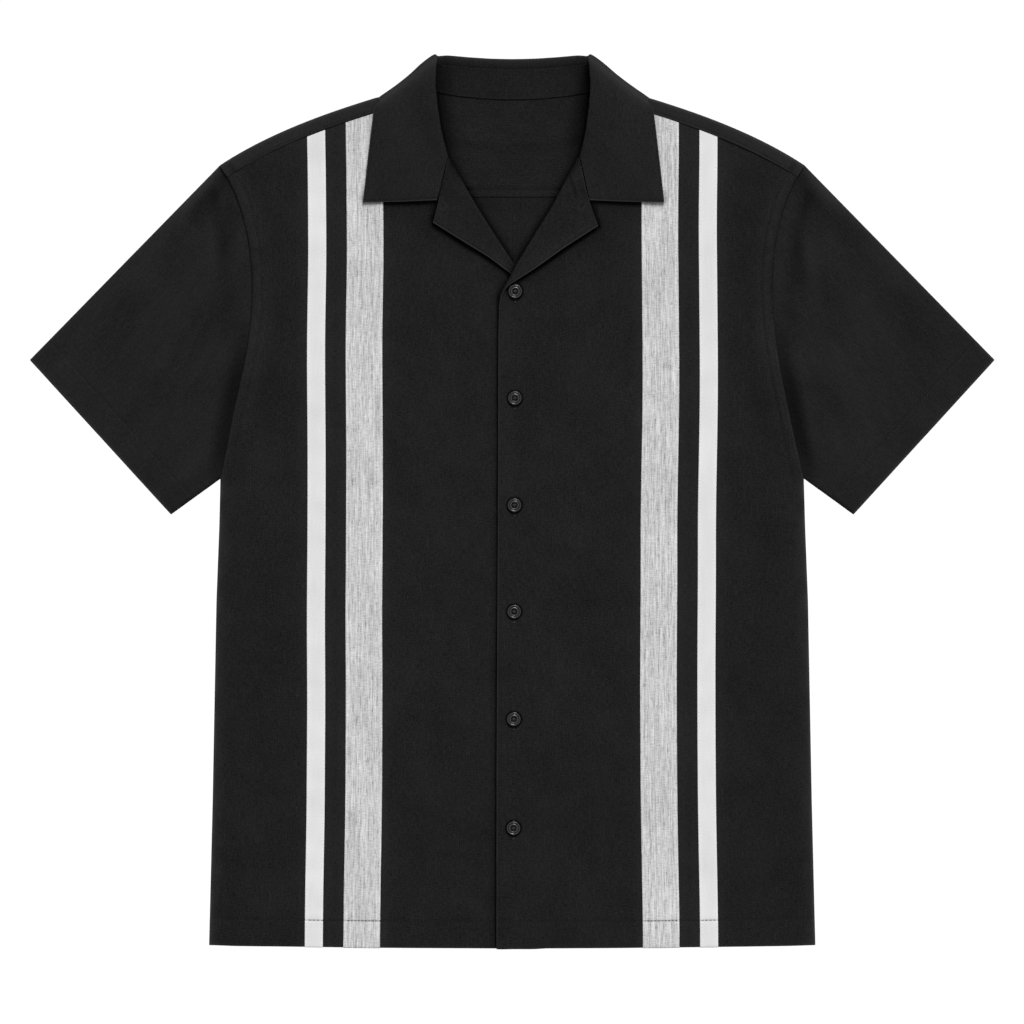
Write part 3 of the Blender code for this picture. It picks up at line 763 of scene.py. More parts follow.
@dataclass
class Patch:
    """A cloth surface on a grid of columns and rows: the middle of its ply, in mm.

    Attributes:
        x, y, z: the points.
        u, v: where each point is on the flat pattern; v runs along the warp.
        rub: the light painted on the cloth there, up to 1 for a highlight, and below 0 painted shade.
        keep: the cells that stay, or None for all.
        closed: whether the last column is the first one again, as round a tube.
    """

    x: Array
    y: Array
    z: Array
    u: Array
    v: Array
    rub: Array
    keep: Array | None = None
    closed: bool = False

    def mirrored(self, side: Side) -> "Patch":
        """The patch moved to its side of the body.

        Args:
            side: of the wearer.

        Returns:
            The same patch.
        """
        self.x = self.x * side.value
        self.u = self.u * side.value
        return self

    def to_object(self, name: str, wall: float, rounded: float = 0.0) -> Object:
        """Makes the cloth.

        Args:
            name: of the piece.
            wall: the cloth's thickness.
            rounded: radius of its rim, or 0 for a plain cut one.

        Returns:
            The piece, a closed wall with its pattern map.
        """
        columns, rows = self.x.shape
        ids = np.arange(columns * rows).reshape(columns, rows)
        points = ids.copy()
        if self.closed:
            points[-1] = points[0]

        def corners(numbers: Array) -> Array:
            """The four corners of each kept cell."""
            cells = np.stack([numbers[:-1, :-1], numbers[1:, :-1], numbers[1:, 1:], numbers[:-1, 1:]], -1)
            return cells.reshape(-1, 4) if self.keep is None else cells[self.keep]

        used, faces = np.unique(corners(points), return_inverse=True)
        place = np.stack([self.x, self.y, self.z], -1).reshape(-1, 3)[used] * MM
        mesh = bpy.data.meshes.new(name)
        mesh.from_pydata(place.tolist(), [], faces.reshape(-1, 4).tolist())
        flat = np.stack([self.u, self.v], -1).reshape(-1, 2)[corners(ids).ravel()] * MM
        mesh.uv_layers.new(name=UV_NAME).data.foreach_set("uv", flat.astype(np.float32).ravel())
        rub = mesh.attributes.new(PAINTED_LIGHT_NAME, "FLOAT", "POINT")
        rub.data.foreach_set("value", np.clip(self.rub, -1, 1).ravel()[used].astype(np.float32))
        piece = add_object(name, mesh)
        thick = piece.modifiers.new("Wall", "SOLIDIFY")
        thick.thickness = wall * MM
        thick.offset = 0.0
        if rounded:
            round_edges(piece, "Rim", rounded, 60)
        apply_modifiers(piece)
        bpy.ops.object.shade_smooth_by_angle(angle=radians(48))
        return piece


FRONT_CREASES = {
    Side.LEFT: (
        Crease((96, 205), (92, 60), 26, -0.5),
        Crease((205, 90), (214, -110), 20, -1.0),
        Crease((60, -70), (66, -300), 26, -0.6),
        Crease((222, -170), (226, -350), 13, -1.1),
        Crease((77, 240), (72, 176), 9, -0.9),
        Crease((212, 262), (204, 120), 8, -1.3, -3),
        Crease((238, 236), (220, 205), 5, -0.6),
        Crease((196, 262), (192, 180), 8, -0.4),
        Crease((22, -40), (60, -66), 13, -0.7),
        Crease((24, -120), (70, -150), 16, -0.6),
        Crease((96, -10), (62, -60), 15, 0.5),
        Crease((28, -250), (34, -330), 12, -0.6),
    ),
    Side.RIGHT: (
        Crease((96, 205), (92, 60), 26, -0.5),
        Crease((205, 90), (214, -110), 20, -0.9),
        Crease((60, -70), (66, -300), 26, -0.5),
        Crease((222, -170), (216, -350), 17, -1.0),
        Crease((74, 238), (76, 180), 9, -1.0),
        Crease((214, 250), (206, 130), 8, -1.3, -3),
        Crease((200, 262), (196, 180), 8, -0.4),
        Crease((36, 180), (28, 90), 14, -0.7),
        Crease((228, 0), (232, -60), 15, -0.8),
        Crease((88, -90), (40, -110), 16, -0.5),
        Crease((26, -290), (40, -350), 15, -0.7),
    ),
}


@dataclass
class FrontSurface:
    """The height field of one front; the stripes, stitches and buttons lie on it too.

    Attributes:
        side: of the wearer.
        lapel_reach: how near the crossing it is fully lifted, and how far away not at all.
        lapel_lift: how much the left front is lifted by the right lapel below it.
        lapel_crossing: where the two cross.
    """

    side: Side
    lapel_reach: tuple[float, float] = (7.0, 36.0)
    lapel_lift: float = 1.65
    lapel_crossing: tuple[float, float] = (0.0, 200.0)

    def overlap(self, x: Array, y: Array) -> Array:
        """How far the left front lies above the right one, and above its lapel where they cross.

        Args:
            x, y: the points, x towards the side.

        Returns:
            The lift at each.
        """
        if self.side is Side.RIGHT:
            return np.zeros(np.broadcast(x, y).shape)
        away = np.hypot(x - self.lapel_crossing[0], y - self.lapel_crossing[1])
        near, far = self.lapel_reach
        lift = self.lapel_lift * np.clip((far - away) / (far - near), 0.0, 1.0)
        edge_roll = (1.7 + 0.4 * ripple(0 * x, y, 120.0, 6)) * bell(x + 9.0, 9.0) * between(212.0, 190.0, y)
        return PLY * beside_lap(x) + lift + edge_roll

    @staticmethod
    def underarm_lift(y: Array) -> Array:
        """How much the body's edge stands up where it lies over the sleeve below the armhole."""
        return 4.2 * between(165.0, 100.0, y) * between(4.0, 40.0, y)

    @staticmethod
    def seam_relief(x: Array, y: Array) -> Array:
        """Hem and armhole: the plies under them, the pull of their stitches and the puckers beside.

        Args:
            x, y: the points, x towards the side.

        Returns:
            What is added to the height.
        """
        above_hem = y - PATTERN.hem(x)
        raised = 0.28 * (1 - between(HEM_DEPTH - 1.0, HEM_DEPTH + 2.0, above_hem))
        pull = -STITCH_GROOVE * bell(above_hem - HEM_DEPTH, 1.8)
        pucker = 0.1 * ripple(x, 3 * y, 17.0, 3) * bell(above_hem - HEM_DEPTH, 9.0)
        edge = PATTERN.side(y) - x
        beside = edge / armhole_slant(y)
        on_armhole = between(2.0, 30.0, y)
        ridge = 0.5 * (1 - between(ARMHOLE_STITCH - 0.8, ARMHOLE_STITCH + 1.4, beside))
        sewn = -STITCH_GROOVE * bell(beside - ARMHOLE_STITCH, 1.8)
        waves = 0.16 * ripple(2 * x, y, 14.0, 5) * bell(beside - 5.0, 9.0)
        return raised + pull + pucker + on_armhole * (ridge + sewn + waves)

    def height(self, x: Array, y: Array) -> Array:
        """The middle of the layer at each point, for x towards the side.

        Args:
            x, y: the points.

        Returns:
            The height at each.
        """
        edge = lerp(FLOOR + PLY, FRONT, between(-30.0, 10.0, y))
        half = PATTERN.side(y)
        inside = ease((half - x) / PATTERN.side_rounding)
        soft = relief(FRONT_CREASES[self.side], x, y)
        own = self.side.value
        swell = 0.35 * ripple(x, y, 95.0, 11 + own) + 0.12 * ripple(x, y, 34.0, 21 + own)
        fading = between(345.0, 300.0, y) * between(0.0, 26.0, half - x) + 0.25
        puffed = self.underarm_lift(y) * bell(half - x - 4.0, 22.0)
        level = lerp(edge, FRONT + soft + swell * fading, inside)
        return level + self.seam_relief(x, y) + self.overlap(x, y) + puffed


@dataclass
class RollLine:
    """The fold where a lapel turns back, from low on the front's edge up to the gorge."""

    points: tuple[tuple[float, float], ...]  # y and x, rising

    def x(self, y: Array) -> Array:
        """Where the line is at a height."""
        return np.interp(y, *zip(*self.points))

    def normal(self) -> tuple[float, float]:
        """The unit normal towards the lapel, of its straight upper part.

        Returns:
            Its x and y.
        """
        (low_y, low_x), (high_y, high_x) = self.points[-2:]
        length = float(np.hypot(high_x - low_x, high_y - low_y))
        return (high_y - low_y) / length, -(high_x - low_x) / length


GORGES = {Side.LEFT: (57.2, 299.6), Side.RIGHT: (54.8, 298.4)}  # where collar and lapel meet on the roll
ROLL_LINES = {
    Side.LEFT: RollLine(
        (
            *((110, -12.2), (150, -11.9), (163, -11.6), (169.4, -11.3), (175.7, -10.8), (180, -10.0)),
            *((182.7, -8.9), (185.8, -7.3), (188.5, -5.2), (191.7, -3.0), (197.2, -0.6), (206.3, 3.3)),
            *((228.0, 17.0), (243.0, 26.3), (258.5, 35.8), (271.0, 42.2), (282.0, 47.8)),
            GORGES[Side.LEFT][::-1],
        )
    ),
    Side.RIGHT: RollLine(
        ((170, -15.0), (184, -14.9), (228.0, 12.7), (256.3, 30.6), (283.6, 46.5), GORGES[Side.RIGHT][::-1])
    ),
}
LAPEL_WRAP = PLY + 0.5  # the lapel wraps the front's edge, which lies this far inside its fold


@dataclass
class Front:
    """One front with its folded edge, facing and hem.

    Attributes:
        side: of the wearer.
        edge: x of its folded front edge.
        facing: width of the facing turned under there.
        drop: how much lower the hem hangs along the edge.
        last_straight: x up to which the columns run straight up.
        level_top: y up to which the rows run level.
        armhole_top: x of the outermost column's upper end.
        under_yoke: how far the front goes in under the yoke.
        neckline: its outline under the collar.
        surface: its height field.
    """

    side: Side
    edge: float
    facing: float
    drop: float
    last_straight: float = 179.0
    level_top: float = 150.0
    armhole_top: float = 247.5
    under_yoke: float = 5.0
    neckline: tuple = ((58.6, 298.6), (64.9, 309.5), (69.4, 321.5), (71.9, 339.0))
    surface: FrontSurface = field(init=False)

    def __post_init__(self) -> None:
        """Sets the height field of this side."""
        self.surface = FrontSurface(self.side)

    def top(self, x: Array) -> Array:
        """The front's upper outline: along the roll line, the neckline and the yoke seam.

        Args:
            x: of the columns.

        Returns:
            y of the outline at each.
        """
        roll = ROLL_LINES[self.side]
        normal = roll.normal()
        line_y = np.array([184.0, 190.0, 198.0, 206.3, 228.0, 243.0, 258.5, 282.0, GORGES[self.side][1]])
        line_x = roll.x(line_y) + normal[0] * LAPEL_WRAP
        line_y = line_y + normal[1] * LAPEL_WRAP
        neck_x, neck_y = np.array(self.neckline).T
        neck_x = COLLAR.laid(self.side, neck_x, neck_y)
        outline = np.interp(x, [*line_x, *neck_x], [*line_y, *neck_y])
        under_yoke = PATTERN.yoke_seam(np.maximum(x, PATTERN.neck_point[0])) + self.under_yoke
        return np.where(x < PATTERN.neck_point[0], outline, under_yoke)

    def columns(self) -> tuple[Array, Array]:
        """The columns from the facing's inner edge to the side.

        Returns:
            Distances from the front's fold along the cloth, below 0 where it has turned under, and
            beyond the straight part shares of the way to the side.
        """
        across = stations(
            -(WRAP + self.facing),
            (-WRAP, 5.0),
            (0.0, 0.2),
            (2.0, 0.5),
            (26.5, 1.2 if self.side is Side.LEFT else 2.2),
            (32.5, 0.75),
            (60.0 - self.edge, 3.2),
            (86.0 - self.edge, 1.3),
            (self.last_straight - self.edge, 3.2),
        )
        shares = [*np.linspace(0.06, 0.72, 11), *np.linspace(0.75, 0.97, 12), 0.983, 0.991, 0.997, 1.0]
        return across, np.array(shares)

    def level_rows(self) -> Array:
        """The level rows, closer together beside the buttons.

        Returns:
            Distances from the hem's fold along the cloth, below 0 where it has turned up.
        """
        up = stations(
            -(WRAP + HEM_DEPTH - 1.5),
            (-WRAP, 5.0),
            (0.0, 0.2),
            (2.0, 0.5),
            (21.0, 2.4),
            (26.0, 0.7),
            (self.level_top - PATTERN.hem_centre, 3.6),
        )
        if self.side is Side.LEFT:
            finer = [y - PATTERN.hem_centre + np.linspace(-9.0, 9.0, 17) for _, y in BUTTONS.centres()[1:]]
            up = np.unique(np.concatenate([up, *finer]))
        return up

    def heights(self, guide_x: Array, folded: int, low: Array) -> tuple[Array, Array]:
        """How far up the body the points are: level rows, and above them rows that rise to the outline.

        Args:
            guide_x: x of the columns at the hem.
            folded: how many of them have turned under.
            low: how far each level row is above the hem's edge.

        Returns:
            y of all the points, and y of the hem in each column.
        """
        top = self.top(np.maximum(guide_x, self.edge))
        top[:folded] = self.top(np.array(self.edge))
        foot = PATTERN.hem(guide_x) - self.drop * beside_lap(guide_x) + EDGE_INSET
        lower = foot[:, None] + np.minimum(low, self.level_top - PATTERN.hem_centre)
        lower[:, low > 60] += (PATTERN.hem_centre - foot[:, None]) * between(60, 300, low[low > 60])
        rising = np.linspace(0.0, 1.0, 72)[1:]
        return np.concatenate([lower, lerp(lower[:, -1:], top[:, None], rising)], 1), foot

    def patch(self) -> Patch:
        """Lays out the cloth from the facing's inner edge to the side, and from the hem up.

        Returns:
            The patch, for x towards the side.
        """
        (across, shares), up = self.columns(), self.level_rows()
        inward, under = turned(across)
        low, hem_under = turned(up)
        outer, folded, on_hem = len(across), across.searchsorted(0.0), up.searchsorted(0.0)
        straight_x = self.edge + EDGE_INSET + inward
        guide_x = np.concatenate([straight_x, lerp(self.last_straight, self.armhole_top, shares)])
        y, foot = self.heights(guide_x, folded, low)
        half = PATTERN.side(y) - CLOTH / 2
        x = np.repeat(guide_x[:, None], y.shape[1], 1)
        x[outer:] = lerp(self.last_straight, half[outer:], shares[:, None])
        if self.side is Side.LEFT:
            bend = ROLL_LINES[self.side].x(y) - ROLL_LINES[self.side].points[0][1]
            x += np.where(y < 186.0, bend, 0.0) * between(self.edge + 14.0, self.edge, x)
        x += self.drift(y) * between(self.edge + 24.0, self.edge, x)
        # Halfway up the armhole the body's edge spills over the sleeve
        spill = (2.6 if self.side is Side.RIGHT else 0.8) * bell(y - 78.0, 62.0)
        x[outer:] += spill[outer:] * between(0.7, 1.0, shares)[:, None]
        half = half + spill
        z = self.surface.height(x, y) + OUTER
        z[:outer] -= under[:, None]
        z[:, : len(up)] -= hem_under
        z[outer:] -= self.side_curl((half - x)[outer:], y[outer:])
        self.add_facing_line(x, y, z, outer)
        u, v = x.copy(), y.copy()
        u[:outer] = (self.edge + across)[:, None]
        v[:, : len(up)] = foot[:, None] + up
        keep = np.ones((x.shape[0] - 1, x.shape[1] - 1), bool)
        keep[:folded, :on_hem] = False
        keep[: across.searchsorted(-WRAP), : up.searchsorted(HEM_DEPTH + 1)] = False
        return Patch(x, y, z, u, v, self.rub(x, y, half), keep)

    def side_curl(self, to_side: Array, y: Array) -> Array:
        """How far the cloth curls down at the body's side.

        Args:
            to_side: how far each point is from there.
            y: its height on the body.

        Returns:
            What is taken off its height above the floor.
        """
        depth = np.where(y > PATTERN.underarm, 0.62, 1.0) + self.surface.underarm_lift(y)
        curl = np.clip(1 - to_side / 1.3, 0.0, 1.0)
        return depth * (1 - np.sqrt(1 - curl**2))

    def drift(self, y: Array) -> Array:
        """How far the front edge strays from a straight line on its way down."""
        return -1.5 * between(90.0, -300.0, y) * (self.side is Side.LEFT)

    def add_facing_line(self, x: Array, y: Array, z: Array, outer: int) -> None:
        """Presses in the row of stitches that holds the facing, or the facing's edge at the hem.

        Args:
            x, y, z: the points; z is changed.
            outer: how many columns run beside the edge.
        """
        line_x = FACING_STITCH if self.side is Side.LEFT else self.edge + self.facing
        pull = -0.2 * bell(x[:outer] - line_x, 1.6)
        step = 0.16 * (1 - between(line_x - 0.5, line_x + 1.5, x[:outer]))
        if self.side is Side.RIGHT:
            pull *= between(-362.0, -368.0, y[:outer])
            step = 0.0
        pucker = 0.06 * ripple(3 * x, y, 15.0, 8)[:outer] * bell(x[:outer] - line_x, 8.0)
        z[:outer] += pull + step + pucker

    def rub(self, x: Array, y: Array, half: Array) -> Array:
        """Painted highlights on edges and beside the stripes; painted shade under collar, lapels, buttons and
        the other front.

        Args:
            x, y: the points.
            half: x of the front's edge beside each.

        Returns:
            The painted light at each point, below 0 painted shade.
        """
        to_side = half - x
        # Painted highlights along the front's edge, the hem and the side below the arm, and a dark line at
        # the armhole's seam.
        edges = 0.55 * bell(x - self.edge - self.drift(y), 1.5) + 0.3 * bell(y - PATTERN.hem(x), 2.0)
        below_arm = between(30.0, 10.0, y)
        edges += (0.5 * below_arm + 0.2 * between(170.0, 120.0, y)) * bell(to_side, 2.4)
        edges += 0.28 * below_arm * bell(to_side, 12.0) - 0.3 * between(130.0, 170.0, y) * bell(to_side, 1.2)
        edges = edges * (1 + 0.3 * ripple(x, y, 16.0, 4))
        # Lighter near the shoulder, and painted light and shade beside the armhole's ridge.
        shoulder = 0.05 * between(285.0, 320.0, y) * between(120.0, 160.0, x)
        armhole = PATTERN.from_armhole(x, y)
        beside_armhole = 0.1 * bell(armhole - 8.0, 10.0) - 0.1 * bell(armhole - 25.0, 15.0)
        shoulder += beside_armhole * between(40.0, 90.0, y)
        # Painted light that the pale stripes throw on the black cloth beside them.
        beside_stripes = 0.0
        for stripe in STRIPES:
            outside, inside = (1.0, 1.7) if stripe.colour == "grey" else (1.5, 1.0)
            off = np.maximum(outside * (x - stripe.outer), inside * (stripe.inner - x))
            beside_stripes = np.maximum(beside_stripes, bell(off, 14.0))
        # Darker low on the sides.
        low_sides = 0.07 * between(150.0, 215.0, x) * between(20.0, -120.0, y)
        # Painted shadow under the lapels and the collar.
        lapel = distance_to(LAPELS[self.side].edge(), x, y)
        away = np.minimum(lapel, distance_to(COLLAR.front_edge(self.side), x, y))
        painted_shade = 0.66 * shade_falloff(away, 0.5, 6.0) + 0.2 * shade_falloff(away, 2.0, 25.0)
        painted_shade += 0.15 * shade_falloff(lapel, 1.0, 4.0)
        painted_shade *= between(176.0, 192.0, y)
        # Painted shadow beside the left front's edge on the right front, and round each button on the left
        # one.
        if self.side is Side.RIGHT:
            covered = FRONTS[Side.LEFT]
            beyond = x + covered.edge + covered.drift(y)
            close = 0.6 * shade_falloff(beyond, 0.0, 2.6) + 0.26 * shade_falloff(beyond, 1.0, 7.0)
            painted_shade += close * between(188.0, 176.0, y) + left_roll_painted_shade(x, y)
        else:
            for button_x, button_y in BUTTONS.centres():
                painted_shade += shade_falloff(np.hypot(x - button_x, y - button_y), 6.5, 8.1)
        # Darker along the rows of stitches, with painted light and shade on the puckers beside the armhole's
        # row.
        rows = bell(y - PATTERN.hem(x) - HEM_DEPTH, 1.4)
        beside = to_side - ARMHOLE_STITCH * armhole_slant(y)
        rows += (0.8 + 0.3 * ripple(2 * x, y, 22.0, 9)) * bell(beside, 1.5) * between(10.0, 24.0, y)
        puckers = 0.03 * (1 + 2 * ripple(2 * x, y, 14.0, 12)) * bell(beside + 2.4, 3.0)
        shoulder += puckers * between(120.0, 170.0, y)
        low_sides += 0.055 * between(-180.0, -270.0, y) * between(118.0, 96.0, x)
        return edges + shoulder + 0.17 * beside_stripes - low_sides - painted_shade - 0.2 * rows

    def build(self, cloth: Material) -> None:
        """Makes the front and puts it in the frame.

        Args:
            cloth: its material.
        """
        word = self.side.word
        piece = self.patch().mirrored(self.side).to_object(f"cloth_front_{word}", CLOTH)
        join_frame(piece, cloth, [f"front_{word}"])


def left_roll_painted_shade(x: Array, y: Array) -> Array:
    """Painted shadow on the right front and its lapel beside the left lapel that crosses them.

    Args:
        x, y: the points, x towards the wearer's right.

    Returns:
        0 for cloth in the light, up to 0.9 in the deepest painted shadow.
    """
    up = np.linspace(176.0, 216.0, 21)
    away = distance_to(np.stack([-ROLL_LINES[Side.LEFT].x(up), up], 1), x, y)
    close = 0.6 * shade_falloff(away, 0.4, 2.8) + 0.3 * shade_falloff(away, 1.0, 8.0)
    return close * between(176.0, 188.0, y) * between(216.0, 204.0, y)


def neck_painted_shade(x: Array, y: Array) -> Array:
    """Painted shade on the cloth inside the neck, beside the rolls of collar and lapels.

    Args:
        x, y: the points.

    Returns:
        0 for cloth in the light, up to 0.84 in the deepest painted shade.
    """
    painted_shade = np.zeros(np.broadcast(x, y).shape)
    for side in Side:
        line = np.concatenate([LAPELS[side].values()[::-1, 0:2], COLLAR.front_roll(side)])
        on_collar = between(285.0, 318.0, y)
        reach = lerp(8.0, 23.0 if side is Side.LEFT else 17.0, on_collar)
        away = distance_to(line, side.value * x, y)
        close = lerp(0.5, 0.62, on_collar) * shade_falloff(away, 0.05 * reach, reach)
        painted_shade = np.maximum(painted_shade, close + 0.22 * shade_falloff(away, 0.8, 3.6))
    return painted_shade * between(180.0, 215.0, y)


@dataclass
class Back:
    """The back, with its hem and the box pleat folded so that its face lies outside.

    Attributes:
        pleat_half: half the pleat's width.
    """

    pleat_half: float = 17.0

    def section(self) -> tuple[Array, Array, Array]:
        """The half section across the pleat: x, height and distance along the cloth.

        Returns:
            The points of the line, from the centre out.
        """
        radius = PLY / 2
        outer, inner = self.pleat_half - radius, radius + 0.08
        turn = np.linspace(0.0, pi, 7)
        legs = [(np.linspace(0.0, outer, 8)[:-1], np.full(7, FLOOR))]
        legs.append((outer + radius * np.sin(turn), FLOOR + radius * (1 - np.cos(turn))))
        legs.append((np.linspace(outer, inner, 7)[1:-1], np.full(5, FLOOR + PLY)))
        legs.append((inner - radius * np.sin(turn), FLOOR + PLY + radius * (1 - np.cos(turn))))
        climb = np.linspace(0.0, 1.0, 9)[1:]
        legs.append((np.linspace(inner, PLEAT_RAMP[0], 13)[1:], np.full(12, FLOOR + 2 * PLY)))
        legs.append((lerp(*PLEAT_RAMP, climb), FLOOR + 2 * PLY * (1 - ease(climb))))
        x = np.concatenate([leg[0] for leg in legs])
        z = np.concatenate([leg[1] for leg in legs])
        return x, z, with_length(x, z)[0]

    def patch(self) -> Patch:
        """Lays out the back from hem to yoke seam, both halves.

        Returns:
            The patch.
        """
        path_x, path_z, along = self.section()
        near = np.linspace(0.0, 0.17, 24)[1:]
        shares = np.array([*near, *np.linspace(0.17, 0.95, 32)[1:], 0.965, 0.98, 0.99, 0.996, 1.0])
        up = stations(
            -(WRAP + HEM_DEPTH),
            (-WRAP, 6.0),
            (0.0, 0.2),
            (2.0, 0.6),
            (21.0, 3.8),
            (26.0, 0.9),
            (200.0 - PATTERN.hem_centre, 5.0),
            (PATTERN.back_seam + 5.0 - PATTERN.hem_centre, 1.5),
        )
        low, under = turned(up)
        guide = np.concatenate([path_x, np.full(len(shares), PLEAT_RAMP[1])])
        y = PATTERN.hem(guide)[:, None] + EDGE_INSET + low
        half = PATTERN.half_width(y[-1:]) - CLOTH / 2
        x = np.repeat(path_x[:, None], len(up), 1)
        x = np.concatenate([x, lerp(PLEAT_RAMP[1], half, shares[:, None])])
        y = np.concatenate([y[: len(path_x)], PATTERN.hem(x[len(path_x) :, :1]) + EDGE_INSET + low])
        z = np.concatenate([path_z, np.full(len(shares), FLOOR)])[:, None] - OUTER + under
        # The yoke's seam presses the pleat flatter, and above the hem its wings wander a little
        flatten = 1 - 0.55 * between(232.0, 256.0, y)
        z = FLOOR - OUTER + (z - FLOOR + OUTER) * flatten
        wander = between(0.0, 30.0, y - PATTERN.hem(x)) * between(262.0, 235.0, y)
        upper = np.arange(len(x))[:, None] > len(path_x) - 26
        z += np.where(upper, 0.3 + 0.28 * ripple(x, y, 70.0, 31), 0.0) * wander * between(4.0, 14.0, x)
        cut = np.concatenate([along, along[-1] + (x[len(path_x) :, 0] - PLEAT_RAMP[1])])
        u = np.repeat(cut[:, None], len(up), 1)
        v = np.repeat((PATTERN.hem_centre + up)[None], len(x), 0)
        # Painted highlights along the hem, the side and the pleat's middle; painted shade in and near the
        # neck.
        rub = 0.4 * bell(y - PATTERN.hem(x), 1.6) + 0.4 * bell(x - PATTERN.half_width(y), 1.6)
        rub += 0.12 * bell(x - 0.7, 1.3) - 0.11 * between(190.0, 215.0, y) * between(70.0, 50.0, x)
        across, up = both(x, -1), both(y)
        return Patch(across, up, both(z), both(u, -1), both(v), both(rub) - neck_painted_shade(across, up))

    def build(self, cloth: Material) -> None:
        """Makes the back and puts it in the frame.

        Args:
            cloth: its material.
        """
        piece = self.patch().to_object("cloth_back", CLOTH)
        join_frame(piece, cloth, ["back_panel"])


@dataclass
class ShoulderFold:
    """The fold of the yoke over the shoulder, with one value for each column of the yoke.

    Attributes:
        guide: x of the column, from the centre to the shoulder's tip.
        in_neck: whether it ends at the neck's edge, short of the fold.
        normal: the fold's outward unit normal, x and y.
        low: height of the back's face, where the fold starts.
        radius: of the fold.
        reach: from the fold's centre line to its outer edge.
        top: x and y of that centre line, or of the neck's edge.
    """

    guide: Array
    in_neck: Array
    normal: tuple[Array, Array]
    low: Array
    radius: Array
    reach: Array
    top: tuple[Array, Array]

    def beyond(self, distance: Array) -> tuple[Array, Array]:
        """x and y of points at a distance beyond the centre line."""
        return tuple(top[:, None] + normal[:, None] * distance for top, normal in zip(self.top, self.normal))


